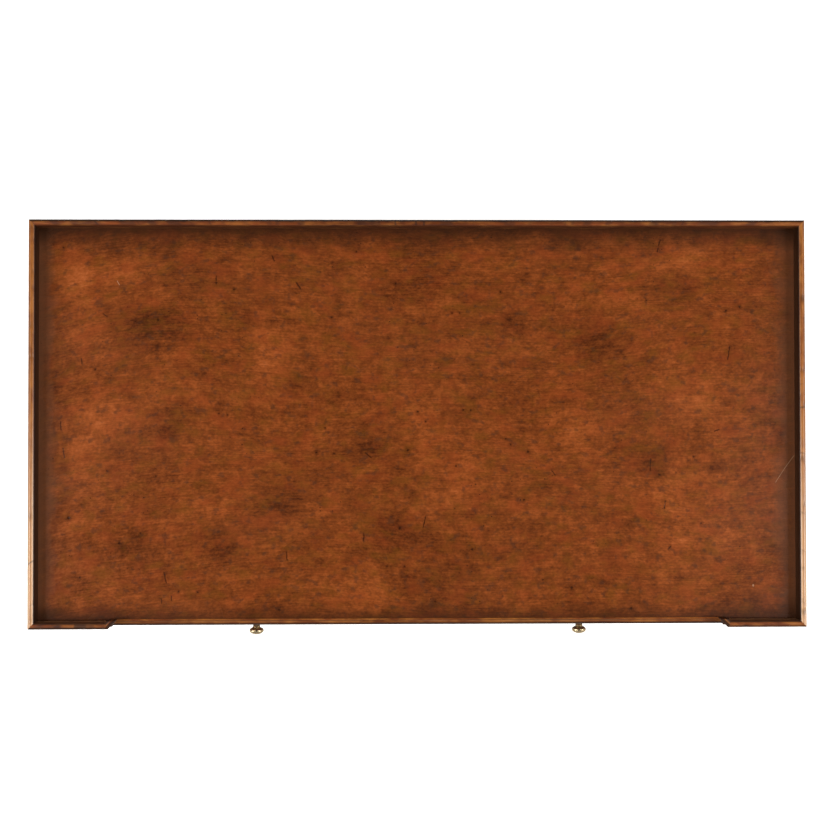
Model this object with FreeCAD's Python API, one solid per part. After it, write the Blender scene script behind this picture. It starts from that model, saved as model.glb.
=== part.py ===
import FreeCAD, Part
import math
import os

Vector = FreeCAD.Vector

# A tray-top writing table. The top is a veneered panel inside a raised gallery that runs round the
# back, the sides and the two front corners, which break forward with a canted return. Between them
# the front edge drops to a low moulded lip above two lipped, dovetailed drawers with turned knobs.
# Lengths are millimetres. X runs along the table, the front faces -Y, and the floor is Z = 0.

# Overall sizes
table_width = 1450.0
table_depth = 762.0
surface_height = 750.0
gallery_height = 32.0

# Plan of the top: how far the corners break forward, how wide they are, and the turn of the cant
corner_step = 3.0
corner_face = 148.0
cant_angle = 45.0

# Edge moulding and gallery rail, seen in section
rail_thickness = 12.7
neck_recess = 2.2
nose_drop = 0.6
nose_under_angle = 45.0
nose_over_angle = 90.0
fillet_width = 0.8
fillet_height = 1.6
cove_height_share = 0.8
lip_bead_radius = 1.8
lip_bead_rise = 1.0
quirk_width = 0.8
quirk_depth = 1.7
lip_seat_drop = 3.0

# Top panel with its tongue
panel_thickness = 22.0
tongue_drop = 8.0
tongue_thickness = 6.0
tongue_length = 4.5
tongue_play = 0.5
overhang = 8.0

# Legs
leg_size = 76.0
foot_size = 42.0
leg_head_drop = 12.0
leg_arris = 1.5

# Frieze: the rails above and below the drawers, and the aprons
top_rail_height = 18.0
opening_height = 84.0
bottom_rail_height = 20.0
rail_depth = 66.0
apron_thickness = 22.0
apron_recess = 5.0
stile_thickness = 26.0
stile_width = 115.0

# Joints of the frame
apron_tenon_length = 30.0
apron_tenon_thickness = 9.0
apron_tenon_shoulder = 12.0
glue_gap = 2.0
rail_tail_length = 25.0
rail_tail_neck = 28.0
rail_tail_end = 36.0
rail_tail_thickness = 12.0
rail_tenon_length = 25.0
rail_tenon_width = 15.0
rail_tenon_thickness = 10.0
rail_tenon_spacing = 30.0
stile_tenon_length = 8.0
stile_tenon_width = 60.0
stile_tenon_thickness = 10.0
housing_depth = 6.0

# Drawer runners, kickers and the centre rail under the top
runner_thickness = 16.0
runner_shelf = 24.0
guide_thickness = 12.0
guide_height = 24.0
kicker_width = 30.0
centre_rail_width = 50.0

# Corner braces at the back, each with one bolt into its leg
brace_thickness = 16.0
brace_height = 50.0
brace_drop = 6.0
brace_bolt_radius = 3.0
brace_bolt_bite = 30.0
brace_head_radius = 7.0
brace_head_height = 4.0
bolt_play = 0.2

# Wooden buttons that hold the top down
button_width = 28.0
button_length = 34.0
button_height = 18.0
button_gap = 1.0
button_tongue_length = 7.0
button_tongue_thickness = 6.0
button_tongue_drop = 9.0
button_groove_play = 0.4
side_button_spacing = 300.0
back_button_bay_shares = (0.22, 0.78)

# Floor glides, glued under the feet
glide_radius = 11.0
glide_thickness = 4.0

# Drawers
lip_overlap = 6.0
lip_margin = 3.5
lip_proud = 6.0
lip_gap = 0.3
thumb_radius = 4.0
field_rise = 0.8
field_inset = 5.0
front_core = 18.0
drawer_length = 520.0
side_thickness = 12.0
back_thickness = 12.0
back_top_drop = 8.0
side_play = 1.2
run_play = 0.3
top_play = 1.7
front_tail_length = 12.0
front_tail_count = 3
back_tail_count = 2
tail_width_share = 0.72
tail_slope = 1.0 / 7.0
bottom_thickness = 6.0
bottom_lift = 9.0
bottom_bite = 5.5
groove_depth = 6.0
groove_play = 0.2
stop_width = 44.0
stop_thickness = 10.0
stop_reach = 30.0
stop_head_gap = 4.0

# Turned knobs, measured out from the drawer's face
knob_projection = 30.5
knob_base_radius = 10.5
knob_base_height = 1.8
knob_neck_radius = 8.4
knob_waist_radius = 5.6
knob_waist_height = 7.8
knob_collar_radius = 7.4
knob_collar_height = 14.2
knob_head_radius = 13.8
knob_head_height = 15.8
knob_rim_radius = 5.2
knob_foot_radius = 6.9
knob_screw_radius = 2.0
knob_screw_bite = 11.0
knob_screw_head_radius = 4.5
knob_screw_head_height = 2.5
knob_screw_play = 0.2

# Working values that follow from the sizes above
half_width = table_width / 2
half_depth = table_depth / 2
cant_turn = math.radians(cant_angle)
nose_radius = rail_thickness - 2 * lip_bead_radius - quirk_width
nose_centre = -nose_drop - nose_radius
frame_top = surface_height - panel_thickness
opening_top = frame_top - top_rail_height
opening_bottom = opening_top - opening_height
frieze_bottom = opening_bottom - bottom_rail_height
leg_side = half_width - overhang
leg_front = half_depth - overhang
leg_inner_x = leg_side - leg_size
leg_inner_y = leg_front - leg_size
rail_face = corner_step + overhang - half_depth
rail_back = rail_face + rail_depth
apron_x = leg_side - apron_recess - apron_thickness
apron_y = leg_front - apron_recess - apron_thickness
drawer_face = rail_face - lip_proud
drawer_core_back = rail_face + front_core
drawer_end = rail_face + drawer_length
drawer_low = opening_bottom + run_play
drawer_high = opening_top - top_play
knob_tip = drawer_face - knob_projection
knob_z = (opening_top + opening_bottom) / 2
centre_y = (half_depth + knob_tip) / 2
brace_high = frame_top - brace_drop
brace_low = brace_high - brace_height


# Plain helpers
def box(x0, x1, y0, y1, z0, z1):
    return Part.makeBox(x1 - x0, y1 - y0, z1 - z0, Vector(x0, y0, z0))


def prism(points, rise):
    wire = Part.makePolygon(points + points[:1])
    return Part.Face(wire).extrude(rise)


def plan_prism(corners, z0, z1):
    points = [Vector(p.x, p.y, z0) for p in corners]
    return prism(points, Vector(0, 0, z1 - z0))


def fused(shapes):
    whole = shapes[0]
    for shape in shapes[1:]:
        whole = whole.fuse(shape)
    return whole.removeSplitter()


def without(shape, tools):
    for tool in tools:
        shape = shape.cut(tool)
    return shape.removeSplitter()


def mirrored(shape):
    return shape.mirror(Vector(0, 0, 0), Vector(1, 0, 0))


def both_hands(shapes):
    return shapes + [mirrored(shape) for shape in shapes]


def across(point):
    return Vector(-point.x, point.y, point.z)


# Plan of the top: the corners of its right-hand half, a given distance inside the outer edge
def outline(inset):
    lean = inset * math.tan(cant_turn / 2)
    front = inset - half_depth
    cant_start_x = half_width - corner_face + lean
    cant_end_x = cant_start_x - corner_step / math.tan(cant_turn)
    back_corner = Vector(half_width - inset, half_depth - inset, 0)
    front_corner = Vector(half_width - inset, front, 0)
    cant_start = Vector(cant_start_x, front, 0)
    cant_end = Vector(cant_end_x, front + corner_step, 0)
    return back_corner, front_corner, cant_start, cant_end


outer = outline(0)
inner = outline(rail_thickness)
cant_foot = outline(overhang)[-1]
opening_outer = cant_foot.x - lip_margin - lip_overlap
opening_inner = stile_width / 2
knob_x = (opening_inner + opening_outer) / 2


# A section is a start point and a list of steps (via, to), where via is None on a straight line.
# Points are (distance in from the outer edge, height above the writing surface).
def round_point(centre, radius, angle):
    turn = math.radians(angle)
    return centre[0] - radius * math.cos(turn), centre[1] + radius * math.sin(turn)


# From the outermost point of the nose round to the underside, past a fillet and a cove
def under_nose():
    centre = (nose_radius, nose_centre)
    nose_end = round_point(centre, nose_radius, -nose_under_angle)
    shelf = (nose_end[0] + fillet_width, nose_end[1])
    cove_top = (shelf[0], shelf[1] - fillet_height)
    cove_width = overhang - cove_top[0]
    cove_height = (panel_thickness + cove_top[1]) * cove_height_share
    cove_foot = (overhang, cove_top[1] - cove_height)
    cove_via = (cove_top[0] + cove_width * math.sqrt(0.5), cove_foot[1] + cove_height * math.sqrt(0.5))
    return [
        (round_point(centre, nose_radius, -nose_under_angle / 2), nose_end),
        (None, shelf),
        (None, cove_top),
        (cove_via, cove_foot),
        (None, (overhang, -panel_thickness)),
    ]


# Up the inner side, past the groove for the panel's tongue
def inner_side(top):
    groove_low = -tongue_drop - tongue_thickness
    groove_in = rail_thickness - tongue_length - tongue_play
    return [
        (None, (rail_thickness, -panel_thickness)),
        (None, (rail_thickness, groove_low)),
        (None, (groove_in, groove_low)),
        (None, (groove_in, -tongue_drop)),
        (None, (rail_thickness, -tongue_drop)),
        (None, top),
    ]


# The high rail: a full round bead on a recessed neck above the nose
def gallery_section():
    radius = rail_thickness / 2
    bead = (radius, gallery_height - radius)
    neck_angle = math.degrees(math.acos((radius - neck_recess) / radius))
    nose_angle = math.degrees(math.acos((nose_radius - neck_recess) / nose_radius))
    nose = (nose_radius, nose_centre)
    start = (rail_thickness, bead[1])
    steps = [
        ((radius, gallery_height), (0, bead[1])),
        (round_point(bead, radius, -neck_angle / 2), round_point(bead, radius, -neck_angle)),
        (None, round_point(nose, nose_radius, nose_angle)),
        (round_point(nose, nose_radius, nose_angle / 2), (0, nose_centre)),
    ]
    return start, steps + under_nose() + inner_side(start)


# The low lip: a small bead at the surface, a quirk, then the nose
def lip_section():
    bead_z = lip_bead_rise - lip_bead_radius
    bead_outer = rail_thickness - 2 * lip_bead_radius
    nose = (nose_radius, nose_centre)
    start = (rail_thickness, bead_z)
    steps = [
        ((rail_thickness - lip_bead_radius, lip_bead_rise), (bead_outer, bead_z)),
        (None, (bead_outer, -quirk_depth)),
        (None, (nose_radius, -quirk_depth)),
        (None, (nose_radius, -nose_drop)),
        (round_point(nose, nose_radius, nose_over_angle / 2), (0, nose_centre)),
    ]
    return start, steps + under_nose() + inner_side(start)


def section_face(section, origin, inward):
    def place(point):
        return origin + inward * point[0] + Vector(0, 0, surface_height + point[1])

    here, steps = section
    edges = []
    for via, there in steps:
        if via is None:
            edges.append(Part.LineSegment(place(here), place(there)).toShape())
        else:
            edges.append(Part.Arc(place(here), place(via), place(there)).toShape())
        here = there
    return Part.Face(Part.Wire(edges))


# A straight length of moulding between two corners of the plan, mitred along the line from the
# outer to the inner corner at each end. Each mitre line runs on past both corners.
def moulding(section, start, end):
    outer_start, inner_start = start
    outer_end, inner_end = end
    along = (outer_end - outer_start).normalize()
    inward = Vector(along.y, -along.x, 0)
    if inward.dot(inner_start - outer_start) < 0:
        inward = -inward
    run_on = along * (2 * rail_thickness)
    face = section_face(section, outer_start - run_on, inward)
    bar = face.extrude(outer_end - outer_start + run_on * 2)
    corners = [
        outer_start * 2 - inner_start,
        inner_start * 2 - outer_start,
        inner_end * 2 - outer_end,
        outer_end * 2 - inner_end,
    ]
    return bar.common(plan_prism(corners, frame_top, surface_height + gallery_height))


def corner(index):
    return outer[index], inner[index]


def corner_across(index):
    return across(outer[index]), across(inner[index])


# The canted end of a corner rail. Its high part runs on over the end of the low lip, on a flat seat.
def cant_rail():
    start = outer[2]
    run = rail_thickness + corner_step
    end_y = outer[3].y + rail_thickness
    cant_along = (outer[3] - start).normalize()
    far = start + cant_along * (2 * run)
    high = moulding(gallery_section(), (start, inner[2]), (far, far + inner[2] - start))
    over_lip = [
        outer[3],
        inner[3],
        Vector(inner[3].x - 2 * run, end_y, 0),
        Vector(inner[3].x - 2 * run, outer[3].y, 0),
    ]
    seat = surface_height - lip_seat_drop
    tip = high.common(plan_prism(over_lip, seat, surface_height + gallery_height))
    return fused([moulding(gallery_section(), corner(2), corner(3)), tip]), tip


def front_lip():
    tip = cant_rail()[1]
    lip = moulding(lip_section(), corner(3), corner_across(3))
    return without(lip, both_hands([tip]))


def gallery_parts():
    section = gallery_section()
    side = moulding(section, corner(0), corner(1))
    front = moulding(section, corner(1), corner(2))
    cant = cant_rail()[0]
    return {
        "gallery_back": moulding(section, corner(0), corner_across(0)),
        "gallery_right": side,
        "gallery_left": mirrored(side),
        "gallery_front_right": front,
        "gallery_front_left": mirrored(front),
        "gallery_cant_right": cant,
        "gallery_cant_left": mirrored(cant),
        "front_lip": front_lip(),
    }


def rod(radius, base, reach):
    return Part.makeCylinder(radius, reach.Length, base, reach)


# Places of the buttons: (point on the apron's inner face, direction of the tongue). At the back
# they stand in the two bays between the kickers.
def button_places():
    places = []
    for y in (-side_button_spacing / 2, side_button_spacing / 2):
        places.append((Vector(apron_x, y, 0), 0))
        places.append((Vector(-apron_x, y, 0), 180))
    bay_start = opening_inner + kicker_width
    bay_end = opening_outer - kicker_width
    for share in back_button_bay_shares:
        x = bay_start + (bay_end - bay_start) * share
        places.append((Vector(x, apron_y, 0), 90))
        places.append((Vector(-x, apron_y, 0), 90))
    return places


def turned(shape, point, angle):
    shape.rotate(Vector(0, 0, 0), Vector(0, 0, 1), angle)
    shape.translate(point)
    return shape


def button(point, angle):
    half = button_width / 2
    tongue_high = frame_top - button_tongue_drop
    tongue_low = tongue_high - button_tongue_thickness
    block = box(-button_gap - button_length, -button_gap, -half, half, frame_top - button_height, frame_top)
    tongue = box(-button_gap, button_tongue_length, -half, half, tongue_low, tongue_high)
    return turned(fused([block, tongue]), point, angle)


def top_buttons():
    return Part.makeCompound([button(point, angle) for point, angle in button_places()])


# The panel fills the gallery and carries a tongue all round
def top_panel():
    def sheet(inset, high, low):
        half = list(outline(inset))
        corners = half + [across(p) for p in reversed(half)]
        return plan_prism(corners, surface_height - low, surface_height - high)

    board = sheet(rail_thickness, 0, panel_thickness)
    tongue = sheet(rail_thickness - tongue_length, tongue_drop, tongue_drop + tongue_thickness)
    return fused([board, tongue])


# Frame joints. Each is made once, as the tenon, and again with a glue gap to cut its mortise.
def rail_tail():
    middle = (rail_face + rail_back) / 2
    neck = rail_tail_neck / 2
    end = rail_tail_end / 2
    end_x = leg_inner_x + rail_tail_length
    corners = [
        Vector(leg_inner_x, middle - neck, 0),
        Vector(end_x, middle - end, 0),
        Vector(end_x, middle + end, 0),
        Vector(leg_inner_x, middle + neck, 0),
    ]
    return plan_prism(corners, frame_top - rail_tail_thickness, frame_top)


def rail_tenons(gap):
    middle = (rail_face + rail_back) / 2
    low = frieze_bottom + (bottom_rail_height - rail_tenon_thickness) / 2
    end = leg_inner_x + rail_tenon_length + gap
    half = rail_tenon_width / 2
    tenons = []
    for y in (middle - rail_tenon_spacing / 2, middle + rail_tenon_spacing / 2):
        tenons.append(box(leg_inner_x, end, y - half, y + half, low, low + rail_tenon_thickness))
    return tenons


def side_apron_tenons(gap):
    x0 = apron_x + (apron_thickness - apron_tenon_thickness) / 2
    low = frieze_bottom + apron_tenon_shoulder
    high = frame_top - apron_tenon_shoulder
    end = leg_inner_y + apron_tenon_length + gap
    ends = [(-end, -leg_inner_y), (leg_inner_y, end)]
    return [box(x0, x0 + apron_tenon_thickness, y0, y1, low, high) for y0, y1 in ends]


def back_apron_tenon(gap):
    y0 = apron_y + (apron_thickness - apron_tenon_thickness) / 2
    low = frieze_bottom + apron_tenon_shoulder
    high = frame_top - apron_tenon_shoulder
    end = leg_inner_x + apron_tenon_length + gap
    return box(leg_inner_x, end, y0, y0 + apron_tenon_thickness, low, high)


# Strips that run from the front rails to the back apron, housed at both ends
def strip(x0, x1, z0, z1):
    return box(x0, x1, rail_back - housing_depth, apron_y + housing_depth, z0, z1)


def runner(face_x, side):
    shelf_x = sorted((face_x - side * guide_thickness, face_x + side * runner_shelf))
    guide_x = sorted((face_x - side * guide_thickness, face_x))
    shelf = strip(*shelf_x, opening_bottom - runner_thickness, opening_bottom)
    guide = box(*guide_x, rail_back, apron_y, opening_bottom, opening_bottom + guide_height)
    return fused([shelf, guide])


def kicker(face_x, side):
    return strip(*sorted((face_x, face_x + side * kicker_width)), opening_top, frame_top)


def centre_rail():
    half = centre_rail_width / 2
    return strip(-half, half, opening_top, frame_top)


def strips():
    outer_runner = runner(opening_outer, -1)
    inner_runner = runner(opening_inner, 1)
    outer_kicker = kicker(opening_outer, -1)
    inner_kicker = kicker(opening_inner, 1)
    return {
        "runner_right_outer": outer_runner,
        "runner_right_inner": inner_runner,
        "runner_left_inner": mirrored(inner_runner),
        "runner_left_outer": mirrored(outer_runner),
        "kicker_right_outer": outer_kicker,
        "kicker_right_inner": inner_kicker,
        "kicker_left_inner": mirrored(inner_kicker),
        "kicker_left_outer": mirrored(outer_kicker),
        "centre_rail": centre_rail(),
    }


# The centre stile between the drawers, with a stub tenon up and down
def stile_tenons():
    middle = rail_face + stile_thickness / 2
    half_y = stile_tenon_thickness / 2
    half_x = stile_tenon_width / 2
    low = opening_bottom - stile_tenon_length
    high = opening_top + stile_tenon_length
    return box(-half_x, half_x, middle - half_y, middle + half_y, low, high)


def centre_stile():
    back = rail_face + stile_thickness
    body = box(-opening_inner, opening_inner, rail_face, back, opening_bottom, opening_top)
    return fused([body, stile_tenons()])


def front_top_rail():
    bar = box(-leg_inner_x, leg_inner_x, rail_face, rail_back, opening_top, frame_top)
    cuts = [stile_tenons()] + list(strips().values())
    return without(fused([bar] + both_hands([rail_tail()])), cuts)


def front_bottom_rail():
    bar = box(-leg_inner_x, leg_inner_x, rail_face, rail_back, frieze_bottom, opening_bottom)
    cuts = [stile_tenons()] + list(strips().values())
    return without(fused([bar] + both_hands(rail_tenons(0))), cuts)


# The block beside each front leg: a proud face with a canted edge, housed between the two rails
def corner_panel():
    face_start = outline(overhang)[2]
    back = rail_face + stile_thickness
    plate = [
        Vector(leg_inner_x, -leg_front, 0),
        face_start,
        cant_foot,
        Vector(leg_inner_x, rail_face, 0),
    ]
    body = box(opening_outer, leg_inner_x, rail_face, back, opening_bottom, opening_top)
    return fused([plan_prism(plate, frieze_bottom, frame_top), body])


# Aprons, with the groove that takes the buttons
def groove_heights():
    high = frame_top - button_tongue_drop
    return high - button_tongue_thickness - button_groove_play, high


def side_apron():
    low, high = groove_heights()
    board = box(apron_x, apron_x + apron_thickness, -leg_inner_y, leg_inner_y, frieze_bottom, frame_top)
    deep = apron_x + button_tongue_length + button_gap
    groove = box(apron_x, deep, -leg_inner_y, leg_inner_y, low, high)
    return without(fused([board] + side_apron_tenons(0)), [groove])


def back_apron():
    low, high = groove_heights()
    board = box(-leg_inner_x, leg_inner_x, apron_y, apron_y + apron_thickness, frieze_bottom, frame_top)
    deep = apron_y + button_tongue_length + button_gap
    groove = box(-leg_inner_x, leg_inner_x, apron_y, deep, low, high)
    cuts = [groove] + list(strips().values())
    return without(fused([board] + both_hands([back_apron_tenon(0)])), cuts)


# Legs: square at the frieze, then tapered on the two inner faces, with a small flat on each arris
def leg_square(size, z):
    flat = leg_arris
    rim = size - flat
    outside = [(0, rim), (0, flat), (flat, 0), (rim, 0)]
    inside = [(size, flat), (size, rim), (rim, size), (flat, size)]
    return [Vector(leg_side - a, leg_front - b, z) for a, b in outside + inside]


# A solid of flat faces between two outlines with as many corners and parallel sides
def flat_sided(low, high):
    rings = list(zip(low, low[1:] + low[:1], high[1:] + high[:1], high))
    faces = [Part.Face(Part.makePolygon(list(ring) + [ring[0]])) for ring in rings]
    faces += [Part.Face(Part.makePolygon(end + end[:1])) for end in (low, high)]
    return Part.Solid(Part.makeShell(faces))


def leg_blank():
    shoulder = frieze_bottom - leg_head_drop
    square = leg_square(leg_size, shoulder)
    taper = flat_sided(leg_square(foot_size, glide_thickness), square)
    return fused([plan_prism(square, shoulder, frame_top), taper])


def back_leg():
    cuts = side_apron_tenons(glue_gap)[1:] + [back_apron_tenon(glue_gap), brace_hole(bolt_play)]
    return without(leg_blank(), cuts)


def front_leg():
    blank = leg_blank().mirror(Vector(0, 0, 0), Vector(0, 1, 0))
    cuts = side_apron_tenons(glue_gap)[:1] + rail_tenons(glue_gap) + [rail_tail()]
    return without(blank, cuts)


# Corner braces stand across the back corners, flat against the legs' inner arris
def brace_line():
    slant = Vector(1, 1, 0).normalize()
    height = (brace_low + brace_high) / 2
    seat = Vector(leg_inner_x + leg_arris / 2, leg_inner_y + leg_arris / 2, height)
    return slant, seat


def corner_brace():
    reach = leg_inner_x + leg_inner_y + leg_arris
    inner_reach = reach - brace_thickness * math.sqrt(2)
    corners = [
        Vector(apron_x, reach - apron_x, 0),
        Vector(reach - apron_y, apron_y, 0),
        Vector(inner_reach - apron_y, apron_y, 0),
        Vector(apron_x, inner_reach - apron_x, 0),
    ]
    return without(plan_prism(corners, brace_low, brace_high), [brace_hole(bolt_play)])


def brace_hole(play):
    slant, seat = brace_line()
    start = seat - slant * brace_thickness
    return rod(brace_bolt_radius + play, start, slant * (brace_thickness + brace_bolt_bite + play))


def brace_bolt():
    slant, seat = brace_line()
    head_out = brace_thickness + brace_head_height
    head = rod(brace_head_radius, seat - slant * head_out, slant * brace_head_height)
    return head.fuse(brace_hole(0))


def glide(side_x, side_y):
    x = side_x * (leg_side - foot_size / 2)
    y = side_y * (leg_front - foot_size / 2)
    return rod(glide_radius, Vector(x, y, 0), Vector(0, 0, glide_thickness))


def frame_parts():
    panel = corner_panel()
    apron = side_apron()
    brace = corner_brace()
    back_right = back_leg()
    front_right = front_leg()
    parts = {
        "leg_front_right": front_right,
        "leg_front_left": mirrored(front_right),
        "leg_back_right": back_right,
        "leg_back_left": mirrored(back_right),
        "apron_right": apron,
        "apron_left": mirrored(apron),
        "apron_back": back_apron(),
        "front_top_rail": front_top_rail(),
        "front_bottom_rail": front_bottom_rail(),
        "centre_stile": centre_stile(),
        "corner_panel_right": panel,
        "corner_panel_left": mirrored(panel),
        "corner_brace_right": brace,
        "corner_brace_left": mirrored(brace),
        "brace_bolts": Part.makeCompound(both_hands([brace_bolt()])),
        "floor_glides": Part.makeCompound([glide(x, y) for x in (-1, 1) for y in (-1, 1)]),
    }
    parts.update(strips())
    return parts


# Drawers. The box is as wide as the opening less its play, and its sides carry dovetails.
box_outer = opening_outer - side_play
box_inner = opening_inner + side_play
bottom_low = drawer_low + bottom_lift
bottom_high = bottom_low + bottom_thickness


def dovetails(count, low, high, root_y, end_y):
    pitch = (high - low) / count
    wide = pitch * tail_width_share / 2
    neck = wide - abs(end_y - root_y) * tail_slope
    tails = []
    for index in range(count):
        middle = low + (index + 0.5) * pitch
        corners = [
            Vector(box_inner, root_y, middle - neck),
            Vector(box_inner, end_y, middle - wide),
            Vector(box_inner, end_y, middle + wide),
            Vector(box_inner, root_y, middle + neck),
        ]
        tails.append(prism(corners, Vector(side_thickness, 0, 0)))
        far = [corner + Vector(box_outer - box_inner - side_thickness, 0, 0) for corner in corners]
        tails.append(prism(far, Vector(side_thickness, 0, 0)))
    return tails


def lipped_plate():
    low = opening_bottom - lip_overlap
    high = opening_top + lip_overlap
    left = opening_inner - lip_overlap
    right = opening_outer + lip_overlap
    step = drawer_face + field_rise
    plate = box(left, right, step, rail_face - lip_gap, low, high)
    rim = [edge for edge in plate.Edges if edge.BoundBox.YMax < step + lip_gap]
    plate = plate.makeFillet(thumb_radius, rim)
    inset = field_inset
    field = box(left + inset, right - inset, drawer_face, step, low + inset, high - inset)
    return plate.fuse(field)


def groove_cut():
    high = bottom_high + groove_play
    start = drawer_core_back - groove_depth - groove_play
    return box(
        box_inner + side_thickness - groove_depth,
        box_outer - side_thickness + groove_depth,
        start,
        drawer_end,
        bottom_low,
        high,
    )


def knob_hole(radius, start, end):
    return rod(radius, Vector(knob_x, start, knob_z), Vector(0, end - start, 0))


def drawer_front():
    core = box(box_inner, box_outer, rail_face - lip_gap, drawer_core_back, drawer_low, drawer_high)
    tail_end = drawer_core_back - front_tail_length
    tails = dovetails(front_tail_count, drawer_low, drawer_high, drawer_core_back, tail_end)
    hole = knob_hole(knob_screw_radius + knob_screw_play, drawer_face, drawer_core_back)
    return without(fused([lipped_plate(), core]), tails + [groove_cut(), hole])


def drawer_back():
    start = drawer_end - back_thickness
    high = drawer_high - back_top_drop
    board = box(box_inner, box_outer, start, drawer_end, bottom_high, high)
    return without(board, dovetails(back_tail_count, bottom_high, high, start, drawer_end))


def drawer_sides():
    start = drawer_core_back - front_tail_length
    cuts = [drawer_front(), drawer_back(), groove_cut()]
    inner_board = box(box_inner, box_inner + side_thickness, start, drawer_end, drawer_low, drawer_high)
    outer_board = box(box_outer - side_thickness, box_outer, start, drawer_end, drawer_low, drawer_high)
    return without(inner_board, cuts), without(outer_board, cuts)


def drawer_bottom():
    left = box_inner + side_thickness - bottom_bite
    right = box_outer - side_thickness + bottom_bite
    return box(left, right, drawer_core_back - bottom_bite, drawer_end, bottom_low, bottom_high)


# A block on the drawer's back catches the top rail, so the drawer can't be pulled right out
def drawer_stop():
    end = drawer_end - back_thickness
    half = stop_width / 2
    high = frame_top - stop_head_gap
    low = drawer_high - back_top_drop - stop_reach
    return box(knob_x - half, knob_x + half, end - stop_thickness, end, low, high)


# The knob is turned: a round base, a hollow neck, a collar and a flattened round head. The head is
# an oval of three arcs, underside, rim and crown, each running smoothly into the next.
def knob_head(foot_radius):
    rise = knob_head_height / 2
    middle = knob_projection - rise
    inset = knob_head_radius - knob_rim_radius
    crown = (inset**2 + rise**2 - knob_rim_radius**2) / (2 * (rise - knob_rim_radius))

    def on_crown(radius, side):
        height = math.sqrt(crown**2 - radius**2) - crown + rise
        return Vector(radius, middle + side * height, 0)

    join = crown * inset / (crown - knob_rim_radius)
    foot = on_crown(foot_radius, -1)
    top = Vector(0, knob_projection, 0)
    under = Part.Arc(foot, on_crown((foot_radius + join) / 2, -1), on_crown(join, -1))
    rim = Part.Arc(on_crown(join, -1), Vector(knob_head_radius, middle, 0), on_crown(join, 1))
    over = Part.Arc(on_crown(join, 1), on_crown(join / 2, 1), top)
    return foot, [under, rim, over], top


def knob_profile():
    middle = Vector(0, 0, 0)
    base = Vector(knob_base_radius, 0, 0)
    base_top = Vector(knob_base_radius, knob_base_height, 0)
    neck = Vector(knob_neck_radius, knob_base_height, 0)
    waist = Vector(knob_waist_radius, knob_waist_height, 0)
    collar = Vector(knob_collar_radius, knob_collar_height, 0)
    foot, head, top = knob_head(knob_foot_radius)
    pieces = [
        Part.LineSegment(middle, base),
        Part.LineSegment(base, base_top),
        Part.LineSegment(base_top, neck),
        Part.Arc(neck, waist, collar),
        Part.LineSegment(collar, foot),
    ]
    pieces += head + [Part.LineSegment(top, middle)]
    return Part.Face(Part.Wire([piece.toShape() for piece in pieces]))


def knob():
    body = knob_profile().revolve(Vector(0, 0, 0), Vector(0, 1, 0), 360)
    body.rotate(Vector(0, 0, 0), Vector(1, 0, 0), 180)
    body.translate(Vector(knob_x, drawer_face, knob_z))
    depth = knob_screw_bite + knob_screw_play
    bore = knob_hole(knob_screw_radius + knob_screw_play, drawer_face - depth, drawer_face)
    return without(body, [bore])


def knob_screw():
    head = Vector(knob_x, drawer_core_back, knob_z)
    shank = knob_hole(knob_screw_radius, drawer_face - knob_screw_bite, drawer_core_back)
    return rod(knob_screw_head_radius, head, Vector(0, knob_screw_head_height, 0)).fuse(shank)


def drawer_parts():
    side_inner, side_outer = drawer_sides()
    right = {
        "front": drawer_front(),
        "side_inner": side_inner,
        "side_outer": side_outer,
        "back": drawer_back(),
        "bottom": drawer_bottom(),
        "stop": drawer_stop(),
        "knob": knob(),
        "knob_screw": knob_screw(),
    }
    parts = {}
    for name, shape in right.items():
        parts["drawer_right_" + name] = shape
        parts["drawer_left_" + name] = mirrored(shape)
    return parts


# The origin lies under the middle of the whole, knobs included
def write_parts(parts):
    os.makedirs("parts", exist_ok=True)
    for name, shape in parts.items():
        moved = shape.copy()
        moved.translate(Vector(0, -centre_y, 0))
        moved.exportStep("parts/" + name + ".step")


all_parts = {"top_panel": top_panel(), "top_buttons": top_buttons()}
all_parts.update(gallery_parts())
all_parts.update(frame_parts())
all_parts.update(drawer_parts())
write_parts(all_parts)

travel = drawer_end - back_thickness - stop_thickness - rail_back - lip_gap
print("parts", len(all_parts), "drawer travel", round(travel, 2), "shift in Y", round(-centre_y, 3))
print("opening from", round(opening_inner, 2), "to", round(opening_outer, 2))
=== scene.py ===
# %% [markdown]
# # A tray-top writing table
#
# This lesson dresses a writing table whose construction is already settled. The frame holds every
# joint, rail and drawer at its real size, and nothing in it is moved here. What is left is what an
# owner sees and touches: worn cherry veneer, a rubbed gallery, raw wood inside and aged brass. One
# photograph, taken from straight above, is the model for the looks.

# %% Load the frame
import math
import random

import bmesh
import bpy
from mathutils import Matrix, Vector, noise


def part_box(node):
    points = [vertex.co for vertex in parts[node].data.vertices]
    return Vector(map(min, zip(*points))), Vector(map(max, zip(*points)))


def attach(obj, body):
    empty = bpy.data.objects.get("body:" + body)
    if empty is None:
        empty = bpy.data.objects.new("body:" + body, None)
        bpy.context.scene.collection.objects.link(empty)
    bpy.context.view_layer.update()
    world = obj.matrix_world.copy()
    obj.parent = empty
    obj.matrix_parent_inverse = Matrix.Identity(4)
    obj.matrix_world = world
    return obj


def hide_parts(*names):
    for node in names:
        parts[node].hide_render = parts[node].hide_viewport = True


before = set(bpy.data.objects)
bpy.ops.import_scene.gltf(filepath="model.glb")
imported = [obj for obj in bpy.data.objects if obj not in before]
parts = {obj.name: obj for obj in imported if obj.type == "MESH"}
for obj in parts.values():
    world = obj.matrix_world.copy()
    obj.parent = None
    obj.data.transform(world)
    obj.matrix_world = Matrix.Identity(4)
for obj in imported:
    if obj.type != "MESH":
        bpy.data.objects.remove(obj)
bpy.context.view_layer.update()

MM = 0.001

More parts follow.
